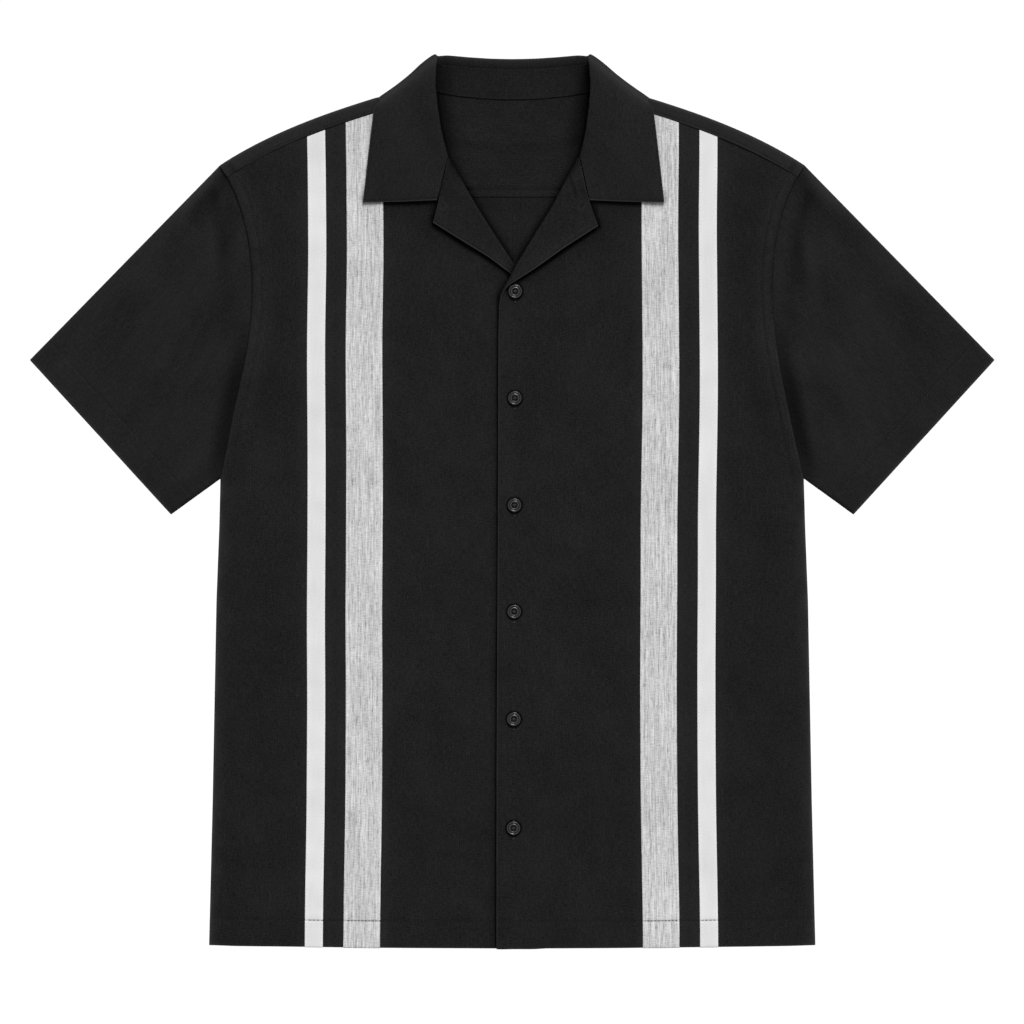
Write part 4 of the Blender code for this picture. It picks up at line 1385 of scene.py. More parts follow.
@dataclass
class Yoke:
    """The yoke: flat across the back, folded forward over the shoulders, its edges turned in.

    Attributes:
        fall_edge: y of the edge of the collar's fall at the centre, over which the yoke climbs.
        fall_half: |x| of the fall's corner.
        fall_rise: how much higher that edge is at the corner.
        fall_ramp: how far below the edge the climb starts.
        neck: y of the yoke's own edge at the centre.
        strip_height: the middle of the layer on the front of the shoulders.
        turned_in: width of the edge turned in there.
    """

    fall_edge: float = 319.4
    fall_half: float = 118.8
    fall_rise: float = 31.0
    fall_ramp: float = 18.0
    neck: float = 354.0
    strip_height: float = FRONT + PLY
    turned_in: float = 4.0

    def height(self, x: Array, y: Array) -> Array:
        """The flat part: it climbs over the collar's fall, and over the pleat at its seam.

        Args:
            x, y: the points.

        Returns:
            The middle of the layer at each.
        """
        edge = self.fall_edge + self.fall_rise * (x / self.fall_half) ** 2
        over_fall = ease((y - edge + self.fall_ramp) / (self.fall_ramp * 2 / 3))
        over_pleat = on_pleat(x) * (1 - between(PATTERN.back_seam, 284.0, y))
        return FLOOR + PLY * np.maximum(over_fall, over_pleat)

    def fold(self) -> ShoulderFold:
        """Works out where each column folds over the shoulder, or ends at the neck.

        Returns:
            The fold.
        """
        neck_x, tip_x = PATTERN.neck_point[0], PATTERN.tip[0]
        guide = np.concatenate([np.linspace(0.0, neck_x, 46), np.linspace(neck_x, tip_x, 54)[1:]])
        in_neck = guide < neck_x
        shoulder_x = np.maximum(guide, neck_x)
        normal = PATTERN.shoulder_normal(shoulder_x)
        tip_y = PATTERN.shoulder(shoulder_x)
        quarter = PATTERN.yoke_forward / 4
        low = self.height(shoulder_x - normal[0] * quarter, tip_y - normal[1] * quarter) - OUTER
        radius = (self.strip_height + OUTER - low) / 2
        reach = radius + CLOTH / 2
        top_x, top_y = shoulder_x - normal[0] * reach, tip_y - normal[1] * reach
        corner = (top_x[~in_neck][0], top_y[~in_neck][0])
        top_x = np.where(in_neck, guide * corner[0] / neck_x, top_x)
        top_y = np.where(in_neck, lerp(self.neck, corner[1], (guide / neck_x) ** 2), top_y)
        return ShoulderFold(guide, in_neck, normal, low, radius, reach, (top_x, top_y))

    def on_back(self, fold: ShoulderFold) -> list[tuple[Array, Array, Array, Array]]:
        """The parts on the back: the edge turned in at the seam, and the flat part up to the fold.

        Args:
            fold: where the columns end.

        Returns:
            For each part x, y, height and distance above the seam.
        """
        neck_x, tip_x = PATTERN.neck_point[0], PATTERN.tip[0]
        seam = stations(-(WRAP + 9.0), (-WRAP, 2.2), (0.0, 0.2))
        flat = np.array([*np.linspace(0.0, 0.12, 19)[1:], *np.linspace(0.12, 1.0, 46)[1:]])
        half = float(PATTERN.half_width(np.array(PATTERN.back_seam))) - CLOTH / 2
        share = np.clip((fold.guide - neck_x) / (tip_x - neck_x), 0.0, 1.0)
        foot_x = np.where(fold.in_neck, fold.guide, lerp(neck_x, half, share))[:, None]
        foot_y = PATTERN.back_seam + EDGE_INSET - 0.5
        inward, over = turned(seam)
        seam_x = np.repeat(foot_x, len(seam), 1)
        seam_y = np.broadcast_to(foot_y + inward, seam_x.shape)
        seam_z = self.height(seam_x, seam_y) - OUTER + over
        flat_x = lerp(foot_x, fold.top[0][:, None], flat)
        flat_y = lerp(foot_y, fold.top[1][:, None], flat)
        flat_z = self.height(flat_x, flat_y) - OUTER
        above_seam = np.broadcast_to(seam, seam_x.shape)
        return [(seam_x, seam_y, seam_z, above_seam), (flat_x, flat_y, flat_z, flat_y - foot_y)]

    def over_shoulder(
        self, fold: ShoulderFold, length: Array
    ) -> list[tuple[Array, Array, Array, Array]]:
        """The parts beyond the flat one: the fold, the strip on the front and its edge turned in.

        Args:
            fold: where the columns fold.
            length: of each column up to there.

        Returns:
            For each part x, y, height and distance above the seam.
        """
        wrap = np.linspace(0.0, pi, 13)[1:]
        strip = stations(0.0, (PATTERN.yoke_forward - 5.0, 0.8))
        edge = np.concatenate([np.linspace(0, WRAP, 5)[1:], [WRAP + 1.5, WRAP + self.turned_in]])
        radius = fold.radius[:, None]
        over = (*fold.beyond(radius * np.sin(wrap)), fold.low[:, None] + radius * (1 - np.cos(wrap)))
        length = length + radius * wrap
        reach = PATTERN.yoke_forward - EDGE_INSET - fold.reach
        back = np.concatenate([strip[1:-1, None] / strip[-1] * reach, reach[None]]).T
        back_x, back_y = fold.beyond(-back)
        back_z = self.strip_height + OUTER + 0.1 * ripple(back_x, back_y, 20.0, 41)
        back_z -= 0.55 * between(-5.0, 0.0, back - reach[:, None])
        edge_in, edge_drop = turned(-edge)
        end_x = back_x[:, -1:] + fold.normal[0][:, None] * edge_in
        end_y = back_y[:, -1:] + fold.normal[1][:, None] * edge_in
        on_strip = length[:, -1:] + back
        end = (end_x, end_y, back_z[:, -1:] - edge_drop, on_strip[:, -1:] + edge)
        return [(*over, length), (back_x, back_y, back_z, on_strip), end]

    @staticmethod
    def rub(fold: ShoulderFold, x: Array, y: Array, seam: int, flat: int) -> Array:
        """Painted highlights along the fold and edges; painted shade inside the neck and at the strip's edge.

        Args:
            fold: over the shoulder.
            x, y: the points of one half.
            seam: how many rows lie at the seam.
            flat: how many lie on the flat part.

        Returns:
            The painted light at the points of both halves, below 0 painted shade.
        """
        outer_x, outer_y = (top + normal * fold.reach for top, normal in zip(fold.top, fold.normal))
        below = np.hypot(x - outer_x[:, None], y - outer_y[:, None])
        painted_highlight = 0.42 * bell(below, 2.2) + 0.2 * bell(below, 8.0) + 0.16 + 0.2 * between(5.0, 12.0, below)
        inside = PATTERN.yoke_forward - below
        painted_highlight += 0.2 * bell(inside - 0.6, 1.0) - 0.3 * bell(inside - 2.2, 0.9)
        in_front = np.arange(x.shape[1]) >= seam + flat
        rub = np.where(in_front, painted_highlight, 0.0)
        rub[:, seam - 3 : seam + 1] = 0.34
        edge = np.where(in_front & (inside < 0.9), 1.0 - between(0.3, 0.9, inside), 0.0)
        across, up = both(x, -1), both(y)
        painted_shade = neck_painted_shade(across, up) + 0.36 * bell(up - YOKE_STITCH, 1.9) + 0.05
        rub = both(rub) - np.where(in_front, 0.0, painted_shade)
        # Painted shade at the strip's edge, and darker along the row beside the armhole.
        rub -= both(edge) * np.where(across < 0, 0.75, 0.5 * between(222.0, 234.0, across))
        beside_row = PATTERN.side(up) - np.abs(across) - (ARMHOLE_STITCH + 1.2)
        return rub - 0.3 * bell(beside_row, 1.3) * in_front

    def patch(self) -> Patch:
        """Lays out the yoke, both halves, with one grid row per line along the seam.

        Returns:
            The patch.
        """
        fold = self.fold()
        parts = self.on_back(fold)
        seam, flat = (part[0].shape[1] for part in parts)
        foot_x = parts[0][0][:, :1]
        parts += self.over_shoulder(fold, parts[1][3][:, -1:])
        x, y, z, v = (np.concatenate(part, 1) for part in zip(*parts))
        u = np.repeat(foot_x, x.shape[1], 1)
        cells = np.ones((x.shape[0] - 1, x.shape[1] - 1), bool)
        cells[: int(fold.in_neck.sum()), seam + flat - 1 :] = False
        keep = np.concatenate([cells[::-1], cells])
        rub = self.rub(fold, x, y, seam, flat)
        return Patch(both(x, -1), both(y), both(z), both(v), both(u, -1), rub, keep)

    def build(self, cloth: Material) -> None:
        """Makes the yoke and puts it in the frame.

        Args:
            cloth: its material.
        """
        piece = self.patch().to_object("cloth_yoke", CLOTH)
        join_frame(piece, cloth, ["yoke"])


@dataclass(frozen=True)
class Stripe:
    """One stripe let on to a front, with its long edges turned under.

    Attributes:
        colour: the word for it in the frame's names.
        inner: x of its inner edge.
        outer: x of its outer edge.
        finish: its cloth; not used.
        turned_in: width of each edge turned under.
    """

    colour: str
    inner: float
    outer: float
    finish: ClothFinish
    turned_in: float = 5.0

    @staticmethod
    def wander(side: Side, y: Array) -> Array:
        """How far the stripe strays sideways at each height, as a sewn strip does.

        Args:
            side: of the wearer.
            y: the heights.

        Returns:
            What is added to x.
        """
        own = 0.35 * ripple(0 * y, y, 170.0, 50 + side.value)
        if side is Side.LEFT:
            own = own - 1.3 * bell(y + 86.0, 190.0) + 0.6 * between(-250.0, -385.0, y)
            own = own - 0.6 * bell(y - 245.0, 64.0) + 0.2 * bell(y - 140.0, 57.0)
            own = own - bell(y + 262.0, 130.0) - 0.45 * bell(y + 110.0, 75.0)
        else:
            own = own + 2.4 * between(-120.0, -385.0, y) - 0.35 * bell(y + 60.0, 70.0)
            own = own - 1.25 * bell(y - 215.0, 85.0) - 1.2 * bell(y + 275.0, 92.0)
        return own * between(330.0, 280.0, y)

    def patch(self, side: Side) -> Patch:
        """Lays out the stripe from hem to yoke.

        Args:
            side: of the wearer.

        Returns:
            The patch, for x towards the side.
        """
        width = self.outer - self.inner
        edge = stations(-(WRAP + self.turned_in), (-WRAP, 2.5), (0.0, 0.2))
        middle = width - 2 * EDGE_INSET
        across = np.concatenate([edge, stations(0.0, (1.6, 0.5), (middle - 1.6, 2.6), (middle, 0.5))[1:-1]])
        across = np.concatenate([across, middle - edge[::-1]])
        from_edge = np.minimum(across, middle - across)
        inward, under = turned(from_edge)
        on_left = across <= middle / 2
        x = self.inner + EDGE_INSET + np.where(on_left, inward, middle - inward)
        reach = stations(0.0, (1.0, 0.25), (21.0, 2.2), (26.0, 0.7))
        start = PATTERN.hem(x)[:, None] - 0.15
        top = PATTERN.yoke_seam(x)[:, None] - 0.35
        y = np.concatenate([start + reach, lerp(start + reach[-1], top, np.linspace(0.0, 1.0, 190)[1:])], 1)
        x = x[:, None] + self.wander(side, y)
        front = FRONTS[side].surface
        round_hem = 0.9 * (1 - np.sqrt(1 - np.clip(1 - (y - start) / 1.0, 0, 1) ** 2))
        puckers = 0.09 * ripple(0 * x, y, 13.0, 60 + side.value) * bell(from_edge, 5.0)[:, None]
        z = front.height(x, y) + PLY - under[:, None] - round_hem + puckers
        u = np.repeat((self.inner + across)[:, None], x.shape[1], 1)
        # Painted shadow under the collar's edge, painted highlights along the turned edges, and darker along
        # the hem's row of stitches.
        away = distance_to(COLLAR.front_edge(side), x, y)
        painted_shade = 0.5 * shade_falloff(away, 0.5, 5.0) * between(275.0, 262.0, y)
        rub = 0.2 * bell(from_edge - 0.8, 1.1)[:, None] - painted_shade
        rub -= 0.6 * bell(y - PATTERN.hem(x) - HEM_DEPTH, 1.0)
        return Patch(x, y, z, u, y + 40.0 * side.value, rub)

    def build(self, side: Side, cloth: Material) -> None:
        """Makes the stripe and puts it in the frame.

        Args:
            side: of the wearer.
            cloth: its material.
        """
        piece = self.patch(side).mirrored(side).to_object(f"cloth_stripe_{self.colour}_{side.word}", CLOTH)
        join_frame(piece, cloth, [f"stripe_{self.colour}_{side.word}"])


@dataclass(frozen=True)
class Section:
    """One section across a lapel or the collar.

    Attributes:
        roll: on the roll line.
        edge: on the free edge.
        stand: on the seam of the collar's stand.
        bearing: degrees, the way the leaf leaves the roll line.
        turn: degrees round the side fold, 0 in front and 180 on the hidden back.
        drop: below the leaf's usual height.
        rise: how much the roll stands above the leaf's usual height.
        edge_rise: how much its free edge does.
        corner: whether the free edge turns sharply here.
    """

    roll: tuple[float, float]
    edge: tuple[float, float]
    stand: tuple[float, float] = (0.0, 0.0)
    bearing: float = 0.0
    turn: float = 0.0
    drop: float = 0.0
    rise: float = 0.0
    edge_rise: float = 0.0
    corner: bool = False

    def row(self) -> list[float]:
        """Everything that is mixed from one section to the next."""
        stance = [self.bearing, self.turn, self.drop, self.rise, self.edge_rise]
        return [*self.roll, *self.edge, *self.stand, *stance]


SIDE_REACH = 34.0  # how far out from the side fold's axis the leaf's edge swings, on average


def spread(sections: tuple[Section, ...], step: float, soften: int) -> Array:
    """Fills in the sections between those of a table.

    Args:
        sections: the table.
        step: distance from one to the next along the longer of the roll line and the edge.
        soften: how often the kinks are averaged out; corners and ends stay.

    Returns:
        One row of values for each section.
    """
    rows, fixed = [np.array(sections[0].row())], [True]
    for first, second in zip(sections, sections[1:]):
        low, high = np.array(first.row()), np.array(second.row())
        arc = SIDE_REACH * radians(abs(high[7] - low[7]))
        length = max(np.hypot(*(high - low)[:2]), np.hypot(*(high - low)[2:4]), arc / 2)
        count = max(2, round(length / step))
        for share in np.linspace(0.0, 1.0, count + 1)[1:]:
            rows.append(lerp(low, high, share))
            fixed.append(share == 1.0 and (second.corner or second is sections[-1]))
    values = np.array(rows)
    free = ~np.array(fixed)[1:-1, None]
    for _ in range(soften):
        mean = (values[:-2] + 2 * values[1:-1] + values[2:]) / 4
        values[1:-1] = np.where(free, mean, values[1:-1])
    return values


LEAF_WALL = 0.9  # collar and lapels are two plies and an interlining
LEAF_RIM = 0.35  # radius of their turned edges
LAPEL_LAY = PLY + 0.15  # how far a lapel's middle lies above the middle of the front
ON_LEAF = 9  # columns of a leaf's grid from here on rise steadily towards its free edge

LAPEL_SECTIONS = {
    Side.LEFT: (
        Section(GORGES[Side.LEFT], (65.3, 263.6), rise=1.2, edge_rise=1.3),
        Section((56.7, 298.7), (65.7, 262.6), rise=1.2, edge_rise=1.3, corner=True),
        Section((52.6, 290.6), (69.6, 252.6), rise=1.7, edge_rise=1.5),
        Section((47.8, 282.0), (74.6, 239.2), rise=2.2, edge_rise=1.7, corner=True),
        Section((35.8, 258.5), (45.0, 220.2), rise=2.4, edge_rise=2.4),
        Section((17.0, 228.0), (20.0, 202.2), rise=2.0, edge_rise=2.2),
        Section((6.3, 210.5), (7.0, 193.9), rise=1.5, edge_rise=1.6),
        Section((0.3, 200.0), (0.6, 190.1), rise=0.9, edge_rise=0.9),
        Section((-3.0, 191.7), (-3.4, 187.0), rise=0.4, edge_rise=0.4),
        Section((-7.3, 185.8), (-6.4, 183.9), rise=0.3, edge_rise=0.3),
        Section((-10.0, 180.0), (-8.6, 179.9), rise=0.2, edge_rise=0.2),
        Section((-11.1, 173.0), (-10.3, 173.0)),
        Section((-11.5, 166.0), (-11.3, 166.0)),
    ),
    Side.RIGHT: (
        Section(GORGES[Side.RIGHT], (63.2, 263.4), rise=1.2, edge_rise=1.3),
        Section((54.4, 297.5), (63.5, 262.4), rise=1.2, edge_rise=1.3, corner=True),
        Section((50.8, 291.4), (65.8, 252.6), rise=1.7, edge_rise=1.5),
        Section((46.5, 283.6), (69.0, 242.2), rise=2.2, edge_rise=1.7, corner=True),
        Section((30.6, 256.3), (45.0, 227.1), rise=2.2, edge_rise=2.3),
        Section((12.7, 228.0), (20.0, 212.0), rise=1.2, edge_rise=1.4),
        Section((2.0, 212.0), (4.5, 200.1), rise=0.2, edge_rise=0.2),
        Section((-4.4, 201.3), (-3.5, 194.8)),
    ),
}


@dataclass
class Lapel:
    """The facing where it turns out over a front as a lapel.

    Attributes:
        side: of the wearer.
        lip: how far its fold wraps the front's edge.
        stitch_inset: from its free edge to the row of stitches.
    """

    side: Side
    lip: float = radians(95)
    stitch_inset: float = 1.8

    def values(self) -> Array:
        """The filled-in table of this side's sections."""
        return spread(LAPEL_SECTIONS[self.side], 1.8, 14)

    def edge(self) -> Array:
        """Its free edge, seen from above."""
        return self.values()[::2, 2:4]

    def grid(self) -> tuple[Array, Array, Array, Array]:
        """The lapel's x, y, height and distance from its free edge.

        Returns:
            One row of points for each section, from the lip to the free edge.
        """
        values = self.values()
        roll, edge = values[:, 0:2], values[:, 2:4]
        ahead = np.gradient(roll, axis=0)
        ahead /= np.hypot(ahead[:, 0], ahead[:, 1])[:, None]
        normal = np.stack([-ahead[:, 1], ahead[:, 0]], 1)
        span = np.hypot(*(edge - roll).T)[:, None]
        normal *= np.minimum(1.0, span / (3 * LAPEL_WRAP))
        centre = roll + normal * LAPEL_WRAP
        front = FRONTS[self.side].surface
        angles = self.lip * (1 - np.linspace(0.0, 1.0, 9)[:-1])
        lip_x = centre[:, :1] - normal[:, :1] * PLY * np.sin(angles)
        lip_y = centre[:, 1:] - normal[:, 1:] * PLY * np.sin(angles)
        rise, edge_rise = values[:, 9:10], values[:, 10:11]
        steps = np.hypot(*np.diff(roll, axis=0).T)
        to_tip = np.append(np.cumsum(steps[::-1])[::-1], 0.0)[:, None]
        lay = lerp(0.3, LAPEL_LAY, ease(to_tip / 18.0))
        lip_z = front.height(centre[:, :1], centre[:, 1:]) + lay * np.cos(angles)
        lip_z += rise * (1 + np.cos(angles)) / 2
        share = np.concatenate([np.linspace(0, 0.9, 20), [0.925, 0.94, 0.955, 0.968, 0.98, 0.99, 1.0]])
        x = lerp(centre[:, :1], edge[:, :1], share)
        y = lerp(centre[:, 1:], edge[:, 1:], share)
        free = (1 - share) * span
        soft = 0.3 * ripple(x, y, 46.0, 71 + self.side.value) * ease(share * span / 10.0) * ease(span / 15.0)
        soft += lerp(rise, edge_rise, share)
        roundness = 0.5 * bell(share * span, 7.0) * np.minimum(1.0, span / 20)
        groove = -0.16 * bell(free - self.stitch_inset, 1.5) * ease(span / 24 - 0.3)
        z = front.height(x, y) + lay + soft + roundness + groove
        lip_z += roundness[:, :1]
        return (
            np.concatenate([lip_x, x], 1),
            np.concatenate([lip_y, y], 1),
            np.concatenate([lip_z, z], 1),
            np.concatenate([span + PLY * angles, free], 1),
        )

    def rub(self, x: Array, y: Array, free: Array) -> Array:
        """Painted highlights along its edge, painted shade along its roll, at its gorge and beside the left
        lapel, and light and shade on a crease and a tuck.

        Args:
            x, y: the points.
            free: their distance from the free edge.

        Returns:
            The painted light at each point, below 0 painted shade.
        """
        from_roll = distance_to(self.values()[::2, 0:2], x, y)
        rub = 0.55 * bell(free - 0.3, 1.0) + 0.1 * bell(free, 12.0) - 0.2 * bell(free - 1.9, 0.9)
        high = between(272.0, 288.0, y)
        rub -= (0.06 + 0.3 * high) * bell(from_roll, 3.5) + 0.25 * high * bell(from_roll, 9.0)
        depth = 0.14 if self.side is Side.LEFT else 0.24
        rub -= depth * between(254.0, 270.0, y) * between(5.0, 13.0, from_roll)
        rub[:4] += np.array([-1.0, -0.9, 0.1, 0.0])[:, None]  # dark in the seam to the collar, a painted highlight beside it
        if self.side is Side.LEFT:
            crease = distance_to(np.array([(50.4, 282.0), (55.3, 264.5)]), x, y)
            rub -= 0.3 * bell(crease, 2.4) - 0.12 * bell(crease - 2.6, 2.4)
        else:
            rub[2] += 0.35 * between(284.0, 290.0, y[2])
            rub -= left_roll_painted_shade(x, y)
        tuck = distance_to(np.array([(64.8, 260.6), (59.6, 256.4)]), x, y)
        return rub - (0.3 * bell(tuck, 2.0) - 0.24 * bell(tuck - 2.2, 1.8))

    def build(self, cloth: Material) -> None:
        """Makes the lapel and puts it in the frame.

        Args:
            cloth: its material.
        """
        x, y, z, free = self.grid()
        leaning = radians(28)  # how far its warp leans, as the facing turns out
        u = x * cos(leaning) - y * sin(leaning)
        v = x * sin(leaning) + y * cos(leaning)
        patch = Patch(x, y, z, u, v, self.rub(x, y, free)).mirrored(self.side)
        piece = patch.to_object(f"cloth_lapel_{self.side.word}", LEAF_WALL, LEAF_RIM)
        join_frame(piece, cloth, [f"lapel_{self.side.word}"])


SIDE_FOLD = ((61.6, 383.8), (115.8, 347.9))  # axis of the fold round the shoulder

COLLAR_SECTIONS = (
    Section((55.1, 298.7), (65.5, 261.6), (57.4, 299.6), -29.0, 0.0, 1.3, 1.2, 1.3),
    Section((58.4, 311.0), (97.5, 260.3), (64.0, 309.2), -18.0, 0.0, 0.6, 4.5, 1.0),
    Section((61.4, 323.6), (130.9, 259.6), (68.5, 321.6), -12.0, 0.0, 0.0, 7.0, 0.9, corner=True),
    Section((64.2, 342.0), (126.3, 300.0), (71.0, 339.5), -4.0, 0.0, 0.0, 9.5, 1.0),
    Section((65.3, 358.0), (122.0, 335.2), (71.4, 354.5), -4.0, 0.0, 0.0, 10.5, 0.9),
    Section((65.2, 368.0), (121.6, 341.5), (71.2, 361.5), -16.0, 0.0, 0.0, 10.5, 0.7),
    Section(*SIDE_FOLD, (70.5, 373.0), -35.0, 0.0, 0.0, 9.5, 0.5),
    Section((61.6, 386.6), SIDE_FOLD[1], (70.5, 373.0), -35.0, 180.0, 0.0, 5.0),
    Section((54.0, 387.7), (98.0, 341.0), (66.4, 356.3), -75.0, 180.0, 0.0, 4.2),
    Section((36.0, 386.0), (66.0, 329.0), (46.0, 352.8), -86.0, 180.0, 0.0, 4.0),
    Section((18.0, 384.8), (33.0, 321.8), (23.0, 350.6), -88.0, 180.0, 0.0, 4.0),
    Section((7.0, 384.5), (13.0, 319.8), (9.0, 350.0), -89.5, 180.0, 0.0, 4.0),
    Section((0.0, 384.4), (0.0, 319.4), (0.0, 349.9), -90.0, 180.0, 0.0, 4.0),
)


@dataclass
class Collar:
    """The camp collar: stand, roll and leaf, turned round the shoulders to the back.

    Attributes:
        stand_columns, roll_columns: how many columns each has.
        stitch_inset: from its free edge to the row of stitches.
        heights: y where it is told how the collar was laid, a little to the wearer's left.
        pulled_left, pulled_right: how far out its rolls lie there.
        swung: how far each leaf's outer edge lies to the wearer's left.
    """

    stand_columns: int = 20
    roll_columns: int = 9
    stitch_inset: float = 1.8
    heights: tuple = (261.0, 299.0, 314.0, 338.0, 354.0, 370.0, 378.0, 384.0)
    pulled_left: tuple = (1.7, 3.2, 3.0, 2.2, 2.2, 2.4, 3.6, 3.6)
    pulled_right: tuple = (0.0, 0.3, 0.5, 0.3, 0.7, 1.4, 2.9, 2.9)
    swung: float = 1.2

    @staticmethod
    def values() -> Array:
        """The filled-in table of sections."""
        return spread(COLLAR_SECTIONS, 2.0, 10)

    def laid(self, side: Side, x: Array, y: Array) -> Array:
        """How far out the collar's points are on one side, as it was laid down.

        Args:
            side: of the wearer.
            x, y: the points of a collar laid evenly.

        Returns:
            Their x as it was laid.
        """
        pulled = self.pulled_left if side is Side.LEFT else self.pulled_right
        at_roll = np.interp(y, self.heights, pulled) * np.clip(x / 55.0, 0.0, 1.0)
        return x + lerp(at_roll, side.value * self.swung, between(68.0, 112.0, x))

    def front_line(self, side: Side, first: int) -> Array:
        """A line along its front part, seen from above.

        Args:
            side: of the wearer.
            first: the table's column that holds the line's x, with its y in the next one.

        Returns:
            Rows of x and y.
        """
        values = self.values()
        x, y = values[values[:, 7] < 1.0][::2, first : first + 2].T
        return np.stack([self.laid(side, x, y), y], 1)

    def front_edge(self, side: Side) -> Array:
        """The free edge of its front part."""
        return self.front_line(side, 2)

    def front_roll(self, side: Side) -> Array:
        """The roll of its front part."""
        return self.front_line(side, 0)

    def grid(self) -> tuple[Array, Array, Array, Array, Array]:
        """One half's x, y, height, distance from the free edge, and distance along the leaf.

        Returns:
            One row of points for each section, from the stand to the free edge.
        """
        values = self.values()
        roll, edge, stand = values[:, 0:2], values[:, 2:4], values[:, 4:6]
        bearing, turn = np.radians(values[:, 6]), np.radians(values[:, 7:8])
        drop, rise, edge_rise = values[:, 8:9], values[:, 9:10], values[:, 10:11]
        behind = turn / pi  # 0 in front and 1 on the hidden back
        away = np.stack([np.cos(bearing), np.sin(bearing)], 1)
        leaf, middle = (LEAF - FLOOR) / 2, (LEAF + FLOOR) / 2
        stand_lift = lerp(LEAF - TURN - middle, middle - FLOOR - 2 * PLY, behind)
        radius = (leaf - stand_lift) / 2
        rolled = roll + away * (radius + LEAF_WALL / 2)
        on_stand = np.linspace(0.0, 1.0, self.stand_columns + 1)[:-1]
        angle = np.linspace(0.0, pi, self.roll_columns)
        across = np.concatenate([np.linspace(0, 0.95, 30)[1:], [0.96, 0.97, 0.978, 0.986, 0.993, 1.0]])
        plan = []
        for axis in (slice(0, 1), slice(1, 2)):
            on_band = lerp(stand[:, axis], rolled[:, axis], on_stand)
            round_roll = rolled[:, axis] - away[:, axis] * radius * np.sin(angle)
            on_fall = lerp(rolled[:, axis], edge[:, axis], across)
            plan.append(np.concatenate([on_band, round_roll, on_fall], 1))
        x, y = plan
        span = np.hypot(*(edge - rolled).T)[:, None]
        from_edge = (1 - across) * span
        step = np.hypot(*np.diff(edge, axis=0).T) + SIDE_REACH * np.abs(np.diff(turn[:, 0])) * 0.08
        along = np.concatenate([[0.0], np.cumsum(step)])[:, None]
        soft = 0.6 * ripple(x[:, -len(across) :], y[:, -len(across) :], 60.0, 81)
        soft *= ease(across * span / 14.0) * ease(along / 20.0)
        soft += 0.8 * bell(across * span - 5.0, 12.0)
        soft -= 0.15 * bell(from_edge - self.stitch_inset, 1.6) + 0.25 * bell(from_edge, 8.0)
        round_lift = stand_lift + radius * (1 - np.cos(angle))
        lift = np.concatenate([stand_lift + 0 * on_stand, round_lift, leaf + soft * (1 - behind)], 1)
        fold = np.array(SIDE_FOLD)
        down = (fold[1] - fold[0]) / np.hypot(*(fold[1] - fold[0]))
        x -= down[1] * lift * np.sin(turn)
        y += down[0] * lift * np.sin(turn)
        behind_edge = [span + radius * pi + (1 - on_stand) * 30, span + radius * (pi - angle)]
        on_leaf = rise * (1 - across) ** (1 + 3 * behind) + edge_rise * across
        seated = 0.75 * (1 - on_stand) * behind
        proud = np.concatenate([rise * on_stand - seated, rise + 0 * angle, on_leaf], 1)
        z = middle + lift * np.cos(turn) - drop + proud
        return x, y, z, np.concatenate([*behind_edge, from_edge], 1), np.repeat(along, x.shape[1], 1)

    def rub(self, x: Array, y: Array, free: Array, along: Array) -> Array:
        """Painted highlights along edges, folds and the stand's top; painted shade inside the neck.

        Args:
            x, y: the points.
            free: their distance from the free edge.
            along: their distance along the leaf.

        Returns:
            How rubbed each point is.
        """
        bottom = 1 - between(0.5, 3.0, along)
        rub = 0.5 * bell(free - 0.3, 1.0) - 0.2 * bell(free - 2.0, 0.9) + 0.05 * bottom + 0.07
        folded = distance_to(np.array(SIDE_FOLD), x, y)
        rub += 0.22 * bell(folded, 3.5) + 0.24 * bell(folded, 9.0)
        below_top = (y[:, self.stand_columns + 4] + 1.6)[:, None] - y
        on_band = between(80.0, 170.0, self.values()[:, 7])[:, None]
        # Painted highlight along the top of the stand, darker along its row of stitches below.
        top_highlight = 0.4 * bell(below_top, 3.0) + 0.34 * bell(below_top, 7.0)
        rub += on_band * (top_highlight - 0.34 * bell(below_top - 9.2, 2.2))
        inside = np.arange(x.shape[1]) < self.stand_columns + self.roll_columns
        rub -= np.where(inside, on_band * (neck_painted_shade(x, y) + 0.09), 0.0)
        rub[:, 0] += 0.3 * on_band[:, 0]
        return rub

    def build(self, cloth: Material) -> None:
        """Makes the collar and puts it in the frame.

        Args:
            cloth: its material.
        """
        x, y, z, free, along = self.grid()
        rub = self.rub(x, y, free, along)
        x[-1] = 0.0
        across = np.concatenate([self.laid(Side.LEFT, x, y), -self.laid(Side.RIGHT, x, y)[-2::-1]])
        up, high, painted_shading = (np.concatenate([half, half[-2::-1]]) for half in (y, z, rub))
        patch = Patch(across, up, high, across, up + high, painted_shading)
        piece = patch.to_object("cloth_collar", LEAF_WALL, LEAF_RIM)
        join_frame(piece, cloth, ["collar"])


